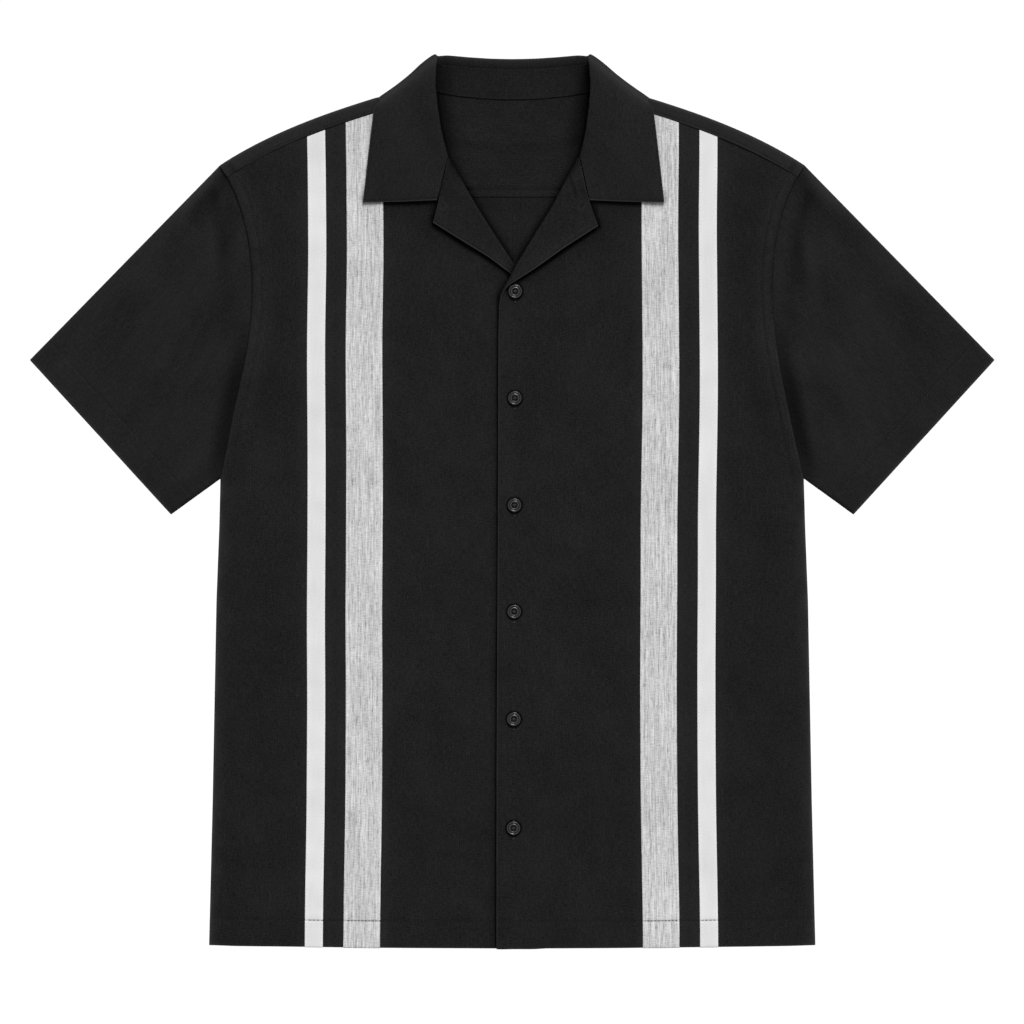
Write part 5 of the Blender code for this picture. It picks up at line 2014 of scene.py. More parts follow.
SLEEVE_CREASES = {
    Side.LEFT: (
        Crease((248, 286), (270, 246), 6, -2.6, 1.0, 2.4),
        Crease((262, 280), (286, 248), 9, 1.6, 1.0, 1.0),
        Crease((252, 262), (262, 228), 7, -1.0),
        Crease((246, 232), (250, 175), 6, -1.6, 2.0),
        Crease((257, 225), (262, 165), 7, 0.9, 2.0),
        Crease((262, 200), (286, 130), 13, -0.9, 3.0),
        Crease((268, 262), (306, 205), 17, -0.8),
        Crease((330, 180), (372, 120), 22, -0.8),
        Crease((300, 230), (352, 176), 12, 0.7, 4.0),
        Crease((262, 110), (292, 60), 11, -0.8),
        Crease((352, 150), (366, 92), 13, -0.7),
    ),
    Side.RIGHT: (
        Crease((246, 287), (280, 242), 6.5, -3.2, 1.5, 2.2),
        Crease((262, 282), (296, 240), 10, 1.6, 1.5, 1.0),
        Crease((245, 256), (250, 206), 7, -2.0, 1.5),
        Crease((258, 246), (262, 198), 7, 0.9, 1.5),
        Crease((268, 262), (306, 205), 17, -0.8),
        Crease((262, 176), (296, 110), 14, -0.9, 3.0),
        Crease((330, 180), (366, 124), 20, -0.8),
        Crease((296, 236), (340, 186), 12, 0.7, 4.0),
        Crease((258, 120), (286, 66), 11, -0.8),
        Crease((316, 110), (336, 52), 14, -0.7),
    ),
}
# Where each sleeve's head falls in beside its seam; shade is painted along these lines
SLEEVE_HOLLOWS = {
    Side.LEFT: ((258.0, 268.0), (251.0, 240.0), (246.0, 217.0), (241.0, 160.0), (243.0, 140.0)),
    Side.RIGHT: ((259.0, 268.0), (256.0, 242.0), (253.0, 218.0), (246.0, 170.0), (245.0, 140.0)),
}


@dataclass
class Sleeve:
    """A short sleeve: a flattened tube whose upper end is tucked in the armhole.

    Attributes:
        side: of the wearer.
        cuff: its end, from the shoulder's fold to the underarm.
        hem: depth of the hem.
        tuck: how far its upper end goes in under the body.
        top_inset: share of the armhole between the shoulder's fold and the tucked end.
        crown: how high its upper layer bulges at each share of the way to the cuff.
        lanes: how many columns lie on each layer.
        fold_columns: how many go round each fold.
        girth_ring: the ring along which the cloth's width is measured.
    """

    side: Side
    cuff: tuple = ((419.9, 123.1), (296.9, -11.5))
    hem: float = 24.0
    tuck: float = 6.0
    top_inset: float = 0.009
    crown: tuple = ((0.0, 0.0), (0.08, 0.2), (0.22, 0.6), (0.42, 0.7), (0.62, 0.6), (0.82, 0.4), (1.0, 0.2))
    lanes: int = 60
    fold_columns: int = 9
    girth_ring: int = 34

    def lines(self, share: Array) -> tuple[Array, Array]:
        """The end at the armhole and the end at the cuff, of the lines along the sleeve.

        Args:
            share: how far each line is from the shoulder's fold to the underarm.

        Returns:
            Rows of x and y for both ends.
        """
        top = np.stack(PATTERN.armhole(share), -1)
        cuff = lerp(np.array(self.cuff[0]), np.array(self.cuff[1]), share[:, None])
        return top, cuff

    def round_tube(self) -> tuple[Array, Array]:
        """The columns round the tube.

        Returns:
            How far each is from the shoulder's fold to the underarm's, and its angle: 0 on the
            upper layer and a half turn on the lower one.
        """
        flat = np.linspace(0.0, 1.0, self.lanes)
        fold = np.linspace(0.0, pi, self.fold_columns)[1:-1]
        share = np.concatenate([flat, np.ones(len(fold)), flat[::-1], np.zeros(len(fold)), [0.0]])
        return share, np.concatenate([0 * flat, fold, pi + 0 * flat, pi + fold, [2 * pi]])

    def rings(self, share: Array) -> tuple[Array, Array, Array, Array]:
        """The rings from the tucked end to the turned-up hem.

        Args:
            share: how far each column is from the shoulder's fold to the underarm's.

        Returns:
            Where each point is on the line of its column, how far along the cloth it is, the
            length of each column, and how far each ring has turned under the face.
        """
        upper = stations(-self.tuck, (0.0, 1.5), (4.0, 0.8), (12.0, 2.0))
        turned_up = stations(-(WRAP + self.hem - 2.0), (-WRAP, 4.0), (0.0, 0.2))
        lower = stations(0.0, (2.0, 0.5), (self.hem - 2.5, 2.6), (self.hem + 2.5, 0.8), (self.hem + 8, 2.0))
        hem_line = np.concatenate([turned_up, lower[1:]])
        middle = np.linspace(0.0, 1.0, 50)[1:-1]
        made = []
        for distance in upper:
            started = lerp(lerp(self.top_inset, 0.0, between(-3.0, 0.0, distance)), 1.0, share)
            top, cuff = self.lines(started)
            ahead = (cuff - top) / np.hypot(*(cuff - top).T)[:, None]
            if distance < 0:
                ahead = self.armhole_normal(started)
            made.append((top + ahead * distance, np.full(len(share), distance)))
        top, cuff = self.lines(share)
        length = np.hypot(*(cuff - top).T)
        ahead = (cuff - top) / length[:, None]
        first, last = top + ahead * upper[-1], cuff - ahead * (EDGE_INSET + hem_line[-1])
        for part in middle:
            made.append((lerp(first, last, part), lerp(upper[-1], length - hem_line[-1], part)))
        inward, drop = turned(hem_line)
        for distance, reach in zip(hem_line[::-1], inward[::-1]):
            made.append((cuff - ahead * (EDGE_INSET + reach), length - distance))
        centre, along = (np.stack(part, 1) for part in zip(*made))
        return centre, along, length, np.concatenate([np.zeros(len(upper) + len(middle)), drop[::-1]])

    def face(self, x: Array, y: Array, along: Array, length: Array, share: Array) -> Array:
        """How the upper layer strays from flat: its crown, folds, hem and the hollow beside its seam.

        Args:
            x, y: the points.
            along: how far along the cloth they are.
            length: of each column.
            share: how far each column is from the shoulder's fold to the underarm's.

        Returns:
            What is added to the layer's height.
        """
        middle = np.sin(pi * share)[:, None]
        from_cuff = length[:, None] - along
        bulge = middle * np.interp(along / length[:, None], *zip(*self.crown))
        soft = relief(SLEEVE_CREASES[self.side], x, y) + 0.3 * ripple(x, y, 70.0, 91 + self.side.value)
        soft *= ease(3.0 * middle) * between(-2.0, 6.0, along)
        hem_step = 0.3 * between(self.hem + 2.0, self.hem - 1.0, from_cuff)
        sewn = -STITCH_GROOVE * bell(from_cuff - self.hem, 1.8)
        pucker = 0.09 * ripple(300 * share[:, None], 0 * y, 14.0, 93) * bell(from_cuff - self.hem, 8.0)
        hollow = 3.4 * ease((along - 6.0) / 17.0) - 0.6 * bell(along - 3.0, 9.0)
        hollow *= between(150.0, 100.0, y) * between(95.0, 25.0, along)
        hollow *= between(-0.02, 0.12, 1 - share)[:, None]
        return bulge + soft + hem_step + sewn + pucker + hollow

    def patch(self) -> Patch:
        """Lays out the tube.

        Returns:
            The patch, for x towards the side.
        """
        share, angle = self.round_tube()
        sine, cosine = np.sin(angle)[:, None], np.cos(angle)[:, None]
        centre, along, length, inner = self.rings(share)
        low = lerp(SLEEVE_UNDER, FLOOR, between(0.5, 8.0, along)) - OUTER
        high = SLEEVE_OVER - 0.6 * between(0.45, 1.0, along / length[:, None]) + OUTER
        radius = (high - low) / 2
        down_x, down_y = self.across_direction(centre)
        shift = (radius + CLOTH / 2) * (1 - 2 * share[:, None]) + sine * radius
        x, y = centre[..., 0] + down_x * shift, centre[..., 1] + down_y * shift
        on_top = cosine > 0.5
        face = self.face(x, y, along, length, share)
        under = (0.15 + 0.15 * ripple(x, y, 60.0, 97 + self.side.value)) * between(10.0, 40.0, along)
        under *= (cosine < -0.99) * np.sin(pi * share)[:, None]
        z = np.where(on_top, np.maximum(high + face - inner, low + 0.6), low + inner + under)
        turning = np.abs(sine) > 1e-6
        z = np.where(turning, (high + low) / 2 + (radius - inner) * cosine, z)
        x = np.where(turning, x - down_x * sine * inner, x)
        y = np.where(turning, y - down_y * sine * inner, y)
        steps = np.hypot(*np.diff(centre[:, self.girth_ring], axis=0).T) + 0.4
        u = np.repeat(np.concatenate([[0.0], np.cumsum(steps)])[:, None], x.shape[1], 1)
        rub = self.rub(x, y, length[:, None] - along, on_top)
        return Patch(x, y, z, u, along, rub, closed=True)

    def rub(self, x: Array, y: Array, from_cuff: Array, on_top: Array) -> Array:
        """Painted highlights along cuff and shoulder fold; painted shade beside the body; painted light and
        shade on creases.

        Args:
            x, y: the points.
            from_cuff: their distance from the cuff, along the cloth.
            on_top: which columns lie on the upper layer.

        Returns:
            The painted light at each point, below 0 painted shade.
        """
        to_fold = distance_to(np.array((PATTERN.tip, self.cuff[0])), x, y)
        painted_highlight = 0.5 * bell(from_cuff, 2.0) - 0.02 * between(self.hem + 1.0, self.hem - 1.0, from_cuff)
        painted_highlight = painted_highlight + 0.22 * bell(to_fold, 3.0) + 0.22 * bell(to_fold, 9.0) * between(320.0, 275.0, x)
        # Painted shade beside the body and along the hollows by the seam.
        beside = PATTERN.from_armhole(x, y)
        heights = (20.0, 50.0, 95.0, 130.0, 160.0)
        depth = np.interp(y, heights, (0.3, 0.54, 0.6, 0.36, 0.0))
        reach = np.interp(y, heights, (14.0, 18.0, 21.5, 18.0, 13.0))
        if self.side is Side.LEFT:
            reach = 0.88 * reach
        painted_shade = depth * shade_falloff(beside, 0.3 * reach, reach)
        along_seam = distance_to(np.array(SLEEVE_HOLLOWS[self.side]), x, y)
        heights = (120.0, 157.0, 217.0, 268.0)
        width = np.interp(y, heights, (14.0, 13.0, 8.0, 6.0))
        painted_shade = painted_shade + np.interp(y, heights, (0.0, 0.18, 0.22, 0.3)) * bell(along_seam, width)
        # Painted light on the ridges of the creases and painted shade in their troughs; darker along the
        # hem's row of stitches.
        creased = 0.06 + 0.1 * relief(SLEEVE_CREASES[self.side], x, y)
        row = 0.14 * bell(from_cuff - self.hem, 1.4)
        return painted_highlight + np.where(on_top, creased - painted_shade, 0.0) - row

    @staticmethod
    def armhole_normal(share: Array) -> Array:
        """The armhole's outward unit normal, as rows of x and y.

        Args:
            share: of the way from the tip to the underarm.

        Returns:
            Rows of x and y.
        """
        before = np.stack(PATTERN.armhole(np.clip(share - 0.001, 0.009, 0.989)), -1)
        after = np.stack(PATTERN.armhole(np.clip(share + 0.001, 0.011, 0.991)), -1)
        ahead = (after - before) / np.hypot(*(after - before).T)[:, None]
        return np.stack([-ahead[:, 1], ahead[:, 0]], 1)

    def across_direction(self, centre: Array) -> tuple[Array, Array]:
        """The unit direction across each ring from the shoulder's fold to the underarm."""
        run = centre[self.lanes - 1] - centre[0]
        return tuple((run / np.hypot(*run.T)[:, None]).T)

    def build(self, cloth: Material) -> None:
        """Makes the sleeve and puts it in the frame.

        Args:
            cloth: its material.
        """
        word = self.side.word
        piece = self.patch().mirrored(self.side).to_object(f"cloth_sleeve_{word}", CLOTH)
        join_frame(piece, cloth, [f"sleeve_{word}"])


@dataclass
class Stitches:
    """Rows of lockstitch as small beads of thread, all of one shape.

    Attributes:
        name: of the piece.
        finish: of the thread; not used.
        pitch: from one stitch to the next.
        share: of the pitch that a stitch covers.
        thick: half the thread's width.
        beads: both ends of each stitch, in groups.
    """

    name: str
    finish: PlainFinish
    pitch: float = 3.0
    share: float = 0.74
    thick: float = 0.24
    beads: list = field(default_factory=list)

    def along(self, x: Array, y: Array, z: Array) -> None:
        """Adds a row of stitches along a line of points.

        Args:
            x, y, z: its points.
        """
        distance, length = with_length(x, y)
        count = max(1, int(length / self.pitch))
        begin = (np.arange(count) + 0.13) * length / count
        end = begin + self.share * length / count
        ends = [np.interp(place, distance, part) for place in (begin, end) for part in (x, y, z)]
        self.beads.append(np.stack(ends, 1))

    def bar(self, start: tuple[float, float, float], end: tuple[float, float, float]) -> None:
        """Adds a single stitch."""
        self.beads.append(np.array([[*start, *end]]))

    def build(self, thread: Material) -> None:
        """Makes all the stitches as one piece.

        Args:
            thread: its material.
        """
        deselect()
        bpy.ops.mesh.primitive_uv_sphere_add(segments=6, ring_count=4, radius=1.0)
        template = bpy.context.object
        shape = np.array([v.co for v in template.data.vertices])[:, [2, 0, 1]]
        faces = [list(p.vertices) for p in template.data.polygons]
        bpy.data.objects.remove(template)
        ends = np.concatenate(self.beads)
        middle, run = (ends[:, :3] + ends[:, 3:]) / 2, (ends[:, 3:] - ends[:, :3]) / 2
        length = np.linalg.norm(run, axis=1)[:, None]
        ahead = run / length
        left = np.cross([0.0, 0.0, 1.0], ahead)
        left /= np.linalg.norm(left, axis=1)[:, None]
        up = np.cross(ahead, left)
        body = np.sqrt(np.abs(shape[:, 0])) * np.sign(shape[:, 0]) * 0.5 + shape[:, 0] * 0.5
        sag = 0.5 * (1 - shape[:, 0] ** 2)
        place = middle[:, None] + run[:, None] * body[None, :, None]
        place += left[:, None] * (shape[:, 1] * self.thick)[None, :, None]
        place += up[:, None] * ((shape[:, 2] + sag) * self.thick)[None, :, None]
        count = len(shape)
        mesh = bpy.data.meshes.new(self.name)
        numbered = [[i + k * count for i in face] for k in range(len(ends)) for face in faces]
        mesh.from_pydata((place.reshape(-1, 3) * MM).tolist(), [], numbered)
        piece = add_object(self.name, mesh)
        activate(piece)
        bpy.ops.object.shade_smooth()
        join_frame(piece, thread)


@dataclass
class Buttons:
    """Six four-hole buttons sewn to the left front, each in its buttonhole.

    Attributes:
        radius, thick: of a button.
        xs: where they are sewn, from the top one down.
        top: y of the top one.
        pitch: from one to the next.
        stray: how far up each was sewn from its mark.
        hole: radius of a thread hole.
        hole_reach: from the button's centre to the centre of a hole.
        lift: from the cloth to the button's underside.
        dish: depth of its middle, where the thread lies.
        slit: from the centre to each end of the buttonhole.
        ridges: radius of the rim and of the ring round the dish, and how strongly a reflection is painted on
            each.
        profile: from the edge inwards, how wide each step is and how far it climbs.
    """

    radius: float = 5.95
    thick: float = 2.5
    xs: tuple = (2.6, 2.3, 2.0, 1.7, 1.4, 1.1)
    top: float = 183.0
    pitch: float = 93.4
    stray: tuple = (-0.8, 0.0, 0.4, 1.3, 1.4, 0.0)
    hole: float = 0.8
    hole_reach: float = 1.65
    lift: float = 0.3
    dish: float = 0.75
    slit: float = 8.6
    ridges: tuple = ((5.25, 0.5), (3.3, 0.9))
    profile: tuple = (
        *((0.35, 0.25), (0.5, 0.1), (0.35, -0.2), (0.35, -0.3), (0.5, 0.0)),
        *((0.35, 0.25), (0.45, 0.05), (0.35, -0.2), (0.3, -0.75), (0.3, 0.0)),
    )

    def centres(self) -> list[tuple[float, float]]:
        """Where each button is, from the top one down."""
        return [(x, self.top - self.pitch * number + self.stray[number]) for number, x in enumerate(self.xs)]

    def places(self) -> list[tuple[float, float, float]]:
        """Where the underside of each button is.

        Returns:
            x, y and height of each.
        """
        surface = FRONTS[Side.LEFT].surface
        rim = np.linspace(0.0, 2 * pi, 17)
        made = []
        for x, y in self.centres():
            seat = np.max(surface.height(x + self.radius * np.cos(rim), y + self.radius * np.sin(rim)))
            made.append((x, y, float(seat) + FACE + self.lift))
        return made

    @staticmethod
    def cloth_top(x: float, y: float) -> float:
        """The height of the left front's face at a point."""
        return float(FRONTS[Side.LEFT].surface.height(x, y)) + FACE

    def disc(self) -> Object:
        """Models a disc with a raised rim and a dish, lying at the origin.

        Returns:
            The disc.
        """
        deselect()
        bpy.ops.mesh.primitive_cylinder_add(
            vertices=64, radius=self.radius * MM, depth=self.thick * MM, location=(0, 0, self.thick / 2 * MM)
        )
        button = bpy.context.object
        bpy.ops.object.mode_set(mode="EDIT")
        bpy.ops.mesh.select_all(action="DESELECT")
        bpy.ops.object.mode_set(mode="OBJECT")
        for face in button.data.polygons:
            face.select = face.normal.z > 0.9
        bpy.ops.object.mode_set(mode="EDIT")
        for width, climb in self.profile:
            bpy.ops.mesh.inset(thickness=width * MM)
            bpy.ops.transform.translate(value=(0, 0, climb * MM))
        bpy.ops.object.mode_set(mode="OBJECT")
        round_edges(button, "Tumbled edges", 0.14, 35)
        apply_modifiers(button)
        return button

    def punch(self, button: Object, angle: float) -> None:
        """Cuts one of the holes.

        Args:
            button: the disc.
            angle: round its centre, where the hole is.
        """
        deselect()
        bpy.ops.mesh.primitive_cylinder_add(
            vertices=20,
            radius=self.hole * MM,
            depth=4 * self.thick * MM,
            location=(self.hole_reach * cos(angle) * MM, self.hole_reach * sin(angle) * MM, 0),
        )
        tool = bpy.context.object
        cut = button.modifiers.new("Hole", "BOOLEAN")
        cut.operation = "DIFFERENCE"
        cut.solver = "EXACT"
        cut.object = tool
        apply_modifiers(button)
        bpy.data.objects.remove(tool)

    def blank(self) -> Object:
        """Models one button at the origin.

        Returns:
            The button, with where a reflection is painted on it.
        """
        button = self.disc()
        for quarter in range(4):
            self.punch(button, pi / 4 + quarter * pi / 2)
        activate(button)
        bpy.ops.object.shade_smooth_by_angle(angle=radians(32))
        points = np.array([v.co for v in button.data.vertices]) / MM
        radius = np.hypot(points[:, 0], points[:, 1])
        # A painted reflection on the rim and on the ring round the dish, only on the top.
        painted_shading = sum(amount * bell(radius - ridge, 0.62) for ridge, amount in self.ridges)
        painted_shading *= points[:, 2] > self.thick / 2
        rub = button.data.attributes.new(PAINTED_LIGHT_NAME, "FLOAT", "POINT")
        rub.data.foreach_set("value", painted_shading.astype(np.float32))
        return button

    def build(
        self, plastic: Material, twist: Material, thread: Material
    ) -> None:
        """Makes the buttons, the twist that holds them and their buttonholes.

        Args:
            plastic: the buttons' material.
            twist: the material of the thread that holds them.
            thread: that of the buttonholes.
        """
        blank = self.blank()
        sewn = Stitches("thread_buttons", BLACK_THREAD_SHEENED, thick=0.34)
        for number, (x, y, z) in enumerate(self.places(), start=1):
            mesh = blank.data.copy()
            mesh.transform(Matrix.Translation((x * MM, y * MM, z * MM)))
            button = add_object(f"button_finished_{number}", mesh)
            join_frame(button, plastic, [f"button_{number}"])
            dish = z + self.thick - self.dish
            for row in (-1, 1):
                for strand in (-0.3, 0.3):
                    low, high = (x - 1.25 - strand, y - row * 1.25), (x + 1.25 - strand, y + row * 1.25)
                    sewn.bar((*low, dish + 0.1 * row), (*high, dish + 0.1 * row))
            for level in (-0.9, -0.6, -0.3):
                low = y - self.slit + level
                above = self.cloth_top(x, low) + 0.25
                sewn.bar((x - 1.0, low, above), (x + 1.0, low, above))
        bpy.data.objects.remove(blank)
        sewn.build(twist)
        self.buttonholes(thread)

    def buttonholes(self, thread: Material) -> None:
        """Works the buttonholes: satin stitches down both sides of a slit, bars at each end.

        Args:
            thread: its material.
        """
        worked = Stitches("thread_buttonholes", BLACK_THREAD, thick=0.24)
        for x, y, _ in self.places():
            for level in np.arange(-self.slit, self.slit + 0.01, 0.62):
                z = self.cloth_top(x, y + level) + 0.05
                for side in (-1, 1):
                    worked.bar((x + side * 0.18, y + level, z), (x + side * 1.25, y + level + 0.1, z))
            for end in (-1, 1):
                for row in (0.15, 0.55, 0.95):
                    level = y + end * (self.slit + row)
                    z = self.cloth_top(x, level) + 0.12
                    worked.bar((x - 1.35, level, z), (x + 1.35, level, z))
        worked.build(thread)


@dataclass
class Sewing:
    """All the rows of stitches that show.

    Attributes:
        proud: from the middle of a layer to the thread's middle.
        pleat_gap: |x| from where the back's hem is stitched; the pleat hides the rest.
        placket_inset: from the left front's edge to the row beside it.
    """

    proud: float = FACE - 0.02
    pleat_gap: float = 33.0
    placket_inset: float = 1.3

    def build(self, black: Material, white: Material, twist: Material) -> None:
        """Sews the shirt.

        Args:
            black, white, twist: the threads' materials.
        """
        self.hems().build(black)
        self.placket().build(black)
        self.armholes().build(black)
        self.sleeve_hems().build(twist)
        self.stripe_edges().build(white)
        self.collar_edges().build(black)
        self.top_stitches().build(twist)
        self.yoke_seam().build(black)

    def hems(self) -> Stitches:
        """The body's hem, in front and on the back.

        Returns:
            The stitches.
        """
        sewn = Stitches("thread_hems", BLACK_THREAD)
        for side in Side:
            surface = FRONTS[side].surface
            for low, high, above in self.hem_runs(side):
                x = np.linspace(low, high, 60)
                y = PATTERN.hem(x) + HEM_DEPTH + 0.1
                sewn.along(side.value * x, y, surface.height(x, y) + self.proud + above)
        row = np.linspace(-261.0, 261.0, 160)
        for x in (row[row < -self.pleat_gap], row[row > self.pleat_gap]):
            sewn.along(x, PATTERN.hem(x) + HEM_DEPTH, np.full_like(x, FLOOR - self.proud - 0.05))
        return sewn

    @staticmethod
    def hem_runs(side: Side) -> list[tuple[float, float, float]]:
        """Where the hem's stitches run on cloth, and on the stripes, and how much higher.

        Args:
            side: of the wearer.

        Returns:
            For each run its ends and how much higher it lies.
        """
        runs, start = [], FRONTS[side].edge + (1.3 if side is Side.LEFT else 1.5)
        for stripe in STRIPES:
            runs.append((start, stripe.inner - 0.6, 0.0))
            runs.append((stripe.inner + 0.8, stripe.outer - 0.8, PLY - OUTER + 0.06))
            start = stripe.outer + 0.6
        return [*runs, (start, 260.0, 0.0)]

    def placket(self) -> Stitches:
        """The left front's edge and its facing.

        Returns:
            The stitches.
        """
        sewn = Stitches("thread_placket", BLACK_THREAD, pitch=3.2)
        surface = FRONTS[Side.LEFT].surface
        y = np.linspace(-387.0, 168.0, 220)
        x = FRONTS[Side.LEFT].edge + self.placket_inset + FRONTS[Side.LEFT].drift(y)
        sewn.along(x, y, surface.height(x, y) + self.proud)
        y = np.linspace(-387.0, 203.0, 220)
        x = np.full_like(y, FACING_STITCH)
        sewn.along(x, y, surface.height(x, y) + self.proud)
        return sewn

    def armholes(self) -> Stitches:
        """The row beside each armhole.

        Returns:
            The stitches.
        """
        sewn = Stitches("thread_armholes", BLACK_THREAD)
        for side in Side:
            y = np.linspace(22.0, 284.0, 90)
            x = PATTERN.half_width(y) - ARMHOLE_STITCH * armhole_slant(y)
            sewn.along(side.value * x, y, FRONTS[side].surface.height(x, y) + self.proud)
        return sewn

    @staticmethod
    def sleeve_hems() -> Stitches:
        """The row above each sleeve's hem, on top and underneath.

        Returns:
            The stitches.
        """
        sewn = Stitches("thread_sleeve_hems", BLACK_THREAD_SHEENED, pitch=3.6, share=0.5, thick=0.15)
        for side in Side:
            sleeve, patch = SLEEVES[side], SLEEVES[side].patch()
            length = np.hypot(*(np.subtract(*sleeve.lines(np.array([0.5])))).T)[0]
            ring = int(np.argmin(np.abs(patch.v[sleeve.lanes // 2] - (length - sleeve.hem))))
            lower_layer = sleeve.lanes + sleeve.fold_columns - 2
            for first, sign in ((0, 1), (lower_layer, -1)):
                lanes = slice(first + 1, first + sleeve.lanes - 1)
                x, y, z = (part[lanes, ring] for part in (patch.x, patch.y, patch.z))
                sewn.along(side.value * x, y, z + sign * (CLOTH / 2 - 0.02))
        return sewn

    @staticmethod
    def stripe_edges() -> Stitches:
        """The rows that hold the stripes, just inside their edges.

        Returns:
            The stitches.
        """
        sewn = Stitches("thread_stripes", WHITE_THREAD, pitch=3.0, thick=0.18)
        for side in Side:
            surface = FRONTS[side].surface
            for stripe in STRIPES:
                for x0 in (stripe.inner + 1.5, stripe.outer - 1.5):
                    low, high = float(PATTERN.hem(x0)) + 1.5, float(PATTERN.yoke_seam(np.array(x0))) - 1.5
                    y = np.linspace(low, high, 240)
                    x = x0 + stripe.wander(side, y)
                    sewn.along(side.value * x, y, surface.height(x, y) + PLY + CLOTH / 2 - 0.04)
        return sewn

    def collar_edges(self) -> Stitches:
        """Edge stitching on collar and lapels, and the row beside the left lapel's gorge.

        Returns:
            The stitches.
        """
        sewn = Stitches("thread_collar", BLACK_THREAD)
        x, y, z, free, along = COLLAR.grid()
        shown = along[:, 0] < 96
        for side in Side:
            line = self.at_distance(x[shown], y[shown], z[shown], free[shown], COLLAR.stitch_inset)
            beyond_gorge = slice(int(np.argmax(along[shown][:, 0] > 5.2)), None)
            out, up, high = (part[beyond_gorge] for part in line)
            sewn.along(side.value * COLLAR.laid(side, out, up), up, high + LEAF_WALL / 2)
        for side in (Side.RIGHT, Side.LEFT):
            x, y, z, free = LAPELS[side].grid()
            line = self.at_distance(x, y, z, free, LAPELS[side].stitch_inset)
            wide = free[:, ON_LEAF] > 9
            sewn.along(side.value * line[0][wide], line[1][wide], line[2][wide] + LEAF_WALL / 2)
        sewn.along(*(part[1, 10:-4] for part in (x, y, z + LEAF_WALL / 2)))
        return sewn

    @staticmethod
    def top_stitches() -> Stitches:
        """The rows in shiny thread: two beside the left gorge, one along the top of the collar's stand.

        Returns:
            The stitches.
        """
        sewn = Stitches("thread_top", BLACK_THREAD_SHEENED, pitch=2.6, thick=0.34)
        x, y, z, _ = LAPELS[Side.LEFT].grid()
        for row, lowest in ((2, 268.0), (3, 262.0)):
            shown = (y[row] < 291.5) & (y[row] > lowest)
            sewn.along(x[row, shown], y[row, shown], z[row, shown] + LEAF_WALL / 2)
        x, y, z, _, _ = COLLAR.grid()
        back = np.flatnonzero(COLLAR.values()[:, 7] > 179.0)[2:]
        across, up, high = (part[back, COLLAR.stand_columns * 3 // 4] for part in (x, y, z))
        sewn.thick = 0.2
        for side in Side:
            sewn.along(side.value * COLLAR.laid(side, across, up), up, high + LEAF_WALL / 2)
        return sewn

    @staticmethod
    def at_distance(x: Array, y: Array, z: Array, free: Array, inset: float) -> tuple[Array, Array, Array]:
        """The line on a leaf at so much from its free edge.

        Args:
            x, y, z: the leaf's points, a row for each section.
            free: their distance from its free edge.
            inset: the distance looked for.

        Returns:
            x, y and height of the line.
        """
        leaf = slice(ON_LEAF, None)
        rows = range(len(free))
        return tuple(
            np.array([np.interp(-inset, -free[row, leaf], part[row, leaf]) for row in rows])
            for part in (x, y, z)
        )

    @staticmethod
    def yoke_seam() -> Stitches:
        """The row beside the yoke's seam, seen inside the neck.

        Returns:
            The stitches.
        """
        sewn = Stitches("thread_yoke", BLACK_THREAD)
        x = np.linspace(-56.0, 56.0, 60)
        y = np.full_like(x, YOKE_STITCH)
        sewn.along(x, y, YOKE.height(x, y) - OUTER + CLOTH / 2 - 0.02)
        return sewn


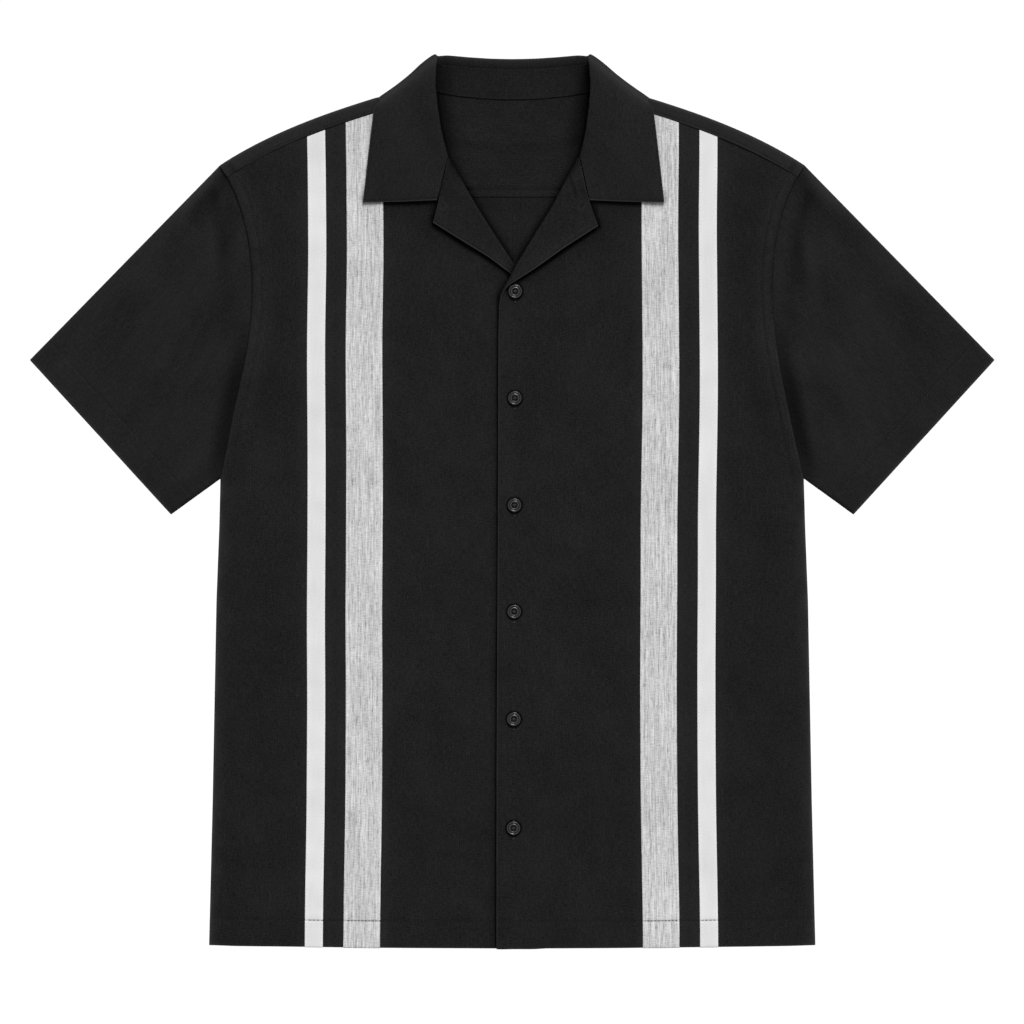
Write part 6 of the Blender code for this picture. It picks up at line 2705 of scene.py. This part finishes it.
@dataclass
class Studio:
    """The camera straight above the shirt, its light and the floor it lies on.

    Attributes:
        frame_width: what the picture takes in.
        centre: its middle.
        lens, sensor: of the camera.
        sky: how bright the room is.
        sun: how bright the window is.
        sun_rise: degrees above the floor.
        sun_swing: degrees from +Y towards +X.
        sun_size: degrees across, which softens its shadows.
    """

    frame_width: float = 890.9
    centre: tuple[float, float] = (-0.2, -9.3)
    lens: float = 120.0
    sensor: float = 36.0
    sky: float = 0.46
    sun: float = 3.2
    sun_rise: float = 40.0
    sun_swing: float = 14.0
    sun_size: float = 25.0

    @staticmethod
    def light_table() -> Material:
        """White acrylic lit from below: it stays white under the cloth's edges, where a shadow would fall.

        Returns:
            The material.
        """
        made, tree, shader = new_material("Light table")
        place = add_node(tree, "ShaderNodeTexCoord").outputs["Object"]
        cloud = add_node(tree, "ShaderNodeTexNoise", {}, {"Vector": place, "Scale": 3.0}).outputs["Fac"]
        shades = {0: cloud, 6: srgb("fdfdfd"), 7: srgb("ffffff")}
        glow = add_node(tree, "ShaderNodeMix", RGBA_MIX, shades).outputs[2]
        tree.links.new(glow, shader.inputs["Emission Color"])
        shader.inputs["Emission Strength"].default_value = 1.03
        shader.inputs["Base Color"].default_value = (0.0, 0.0, 0.0, 1.0)
        shader.inputs["Roughness"].default_value = 0.9
        return made

    def build(self) -> None:
        """Sets up camera, light and floor."""
        scene = bpy.context.scene
        data = bpy.data.cameras.new("Camera")
        data.lens, data.sensor_width = self.lens, self.sensor
        data.clip_end = 20.0
        camera = add_object("Camera", data)
        height = self.frame_width * self.lens / self.sensor
        camera.location = (self.centre[0] * MM, self.centre[1] * MM, (height + 3.0) * MM)
        scene.camera = camera
        scene.view_settings.view_transform = "Standard"
        world = bpy.data.worlds.new("White room")
        world.use_nodes = True
        world.node_tree.nodes["Background"].inputs["Strength"].default_value = self.sky
        world.node_tree.nodes["Background"].inputs["Color"].default_value = (1, 1, 1, 1)
        scene.world = world
        light = bpy.data.lights.new("Window", "SUN")
        light.energy = self.sun
        light.angle = radians(self.sun_size)
        sun = add_object("Window", light)
        sun.rotation_euler = (radians(self.sun_rise - 90), 0.0, radians(-self.sun_swing))
        deselect()
        bpy.ops.mesh.primitive_plane_add(size=12.0, location=(0, 0, -0.00015))
        floor = bpy.context.object
        floor.name = "floor"
        floor.data.materials.append(self.light_table())


STRIPES = (Stripe("grey", 112.9, 144.8, GREY_CLOTH), Stripe("white", 162.6, 178.4, WHITE_CLOTH))
FRONTS = {
    Side.LEFT: Front(Side.LEFT, edge=-12.3, facing=29.5, drop=0.5),
    Side.RIGHT: Front(Side.RIGHT, edge=-15.0, facing=34.7, drop=0.0),
}
LAPELS = {side: Lapel(side) for side in Side}
SLEEVES = {side: Sleeve(side) for side in Side}
COLLAR = Collar()
YOKE = Yoke()
BUTTONS = Buttons()


def main() -> None:
    """Builds everything in order."""
    logging.basicConfig(level=logging.INFO, format="%(message)s")
    Studio().build()
    black, grey, white = (finish.build() for finish in (BLACK_CLOTH, GREY_CLOTH, WHITE_CLOTH))
    plastic, black_thread, white_thread = (f.build() for f in (BUTTON_PLASTIC, BLACK_THREAD, WHITE_THREAD))
    twist = BLACK_THREAD_SHEENED.build()
    Back().build(black)
    YOKE.build(black)
    for side in Side:
        FRONTS[side].build(black)
        LAPELS[side].build(black)
        SLEEVES[side].build(black)
        for stripe in STRIPES:
            stripe.build(side, {"grey": grey, "white": white}[stripe.colour])
    COLLAR.build(black)
    BUTTONS.build(plastic, twist, black_thread)
    Sewing().build(black_thread, white_thread, twist)


if __name__ == "__main__":
    main()
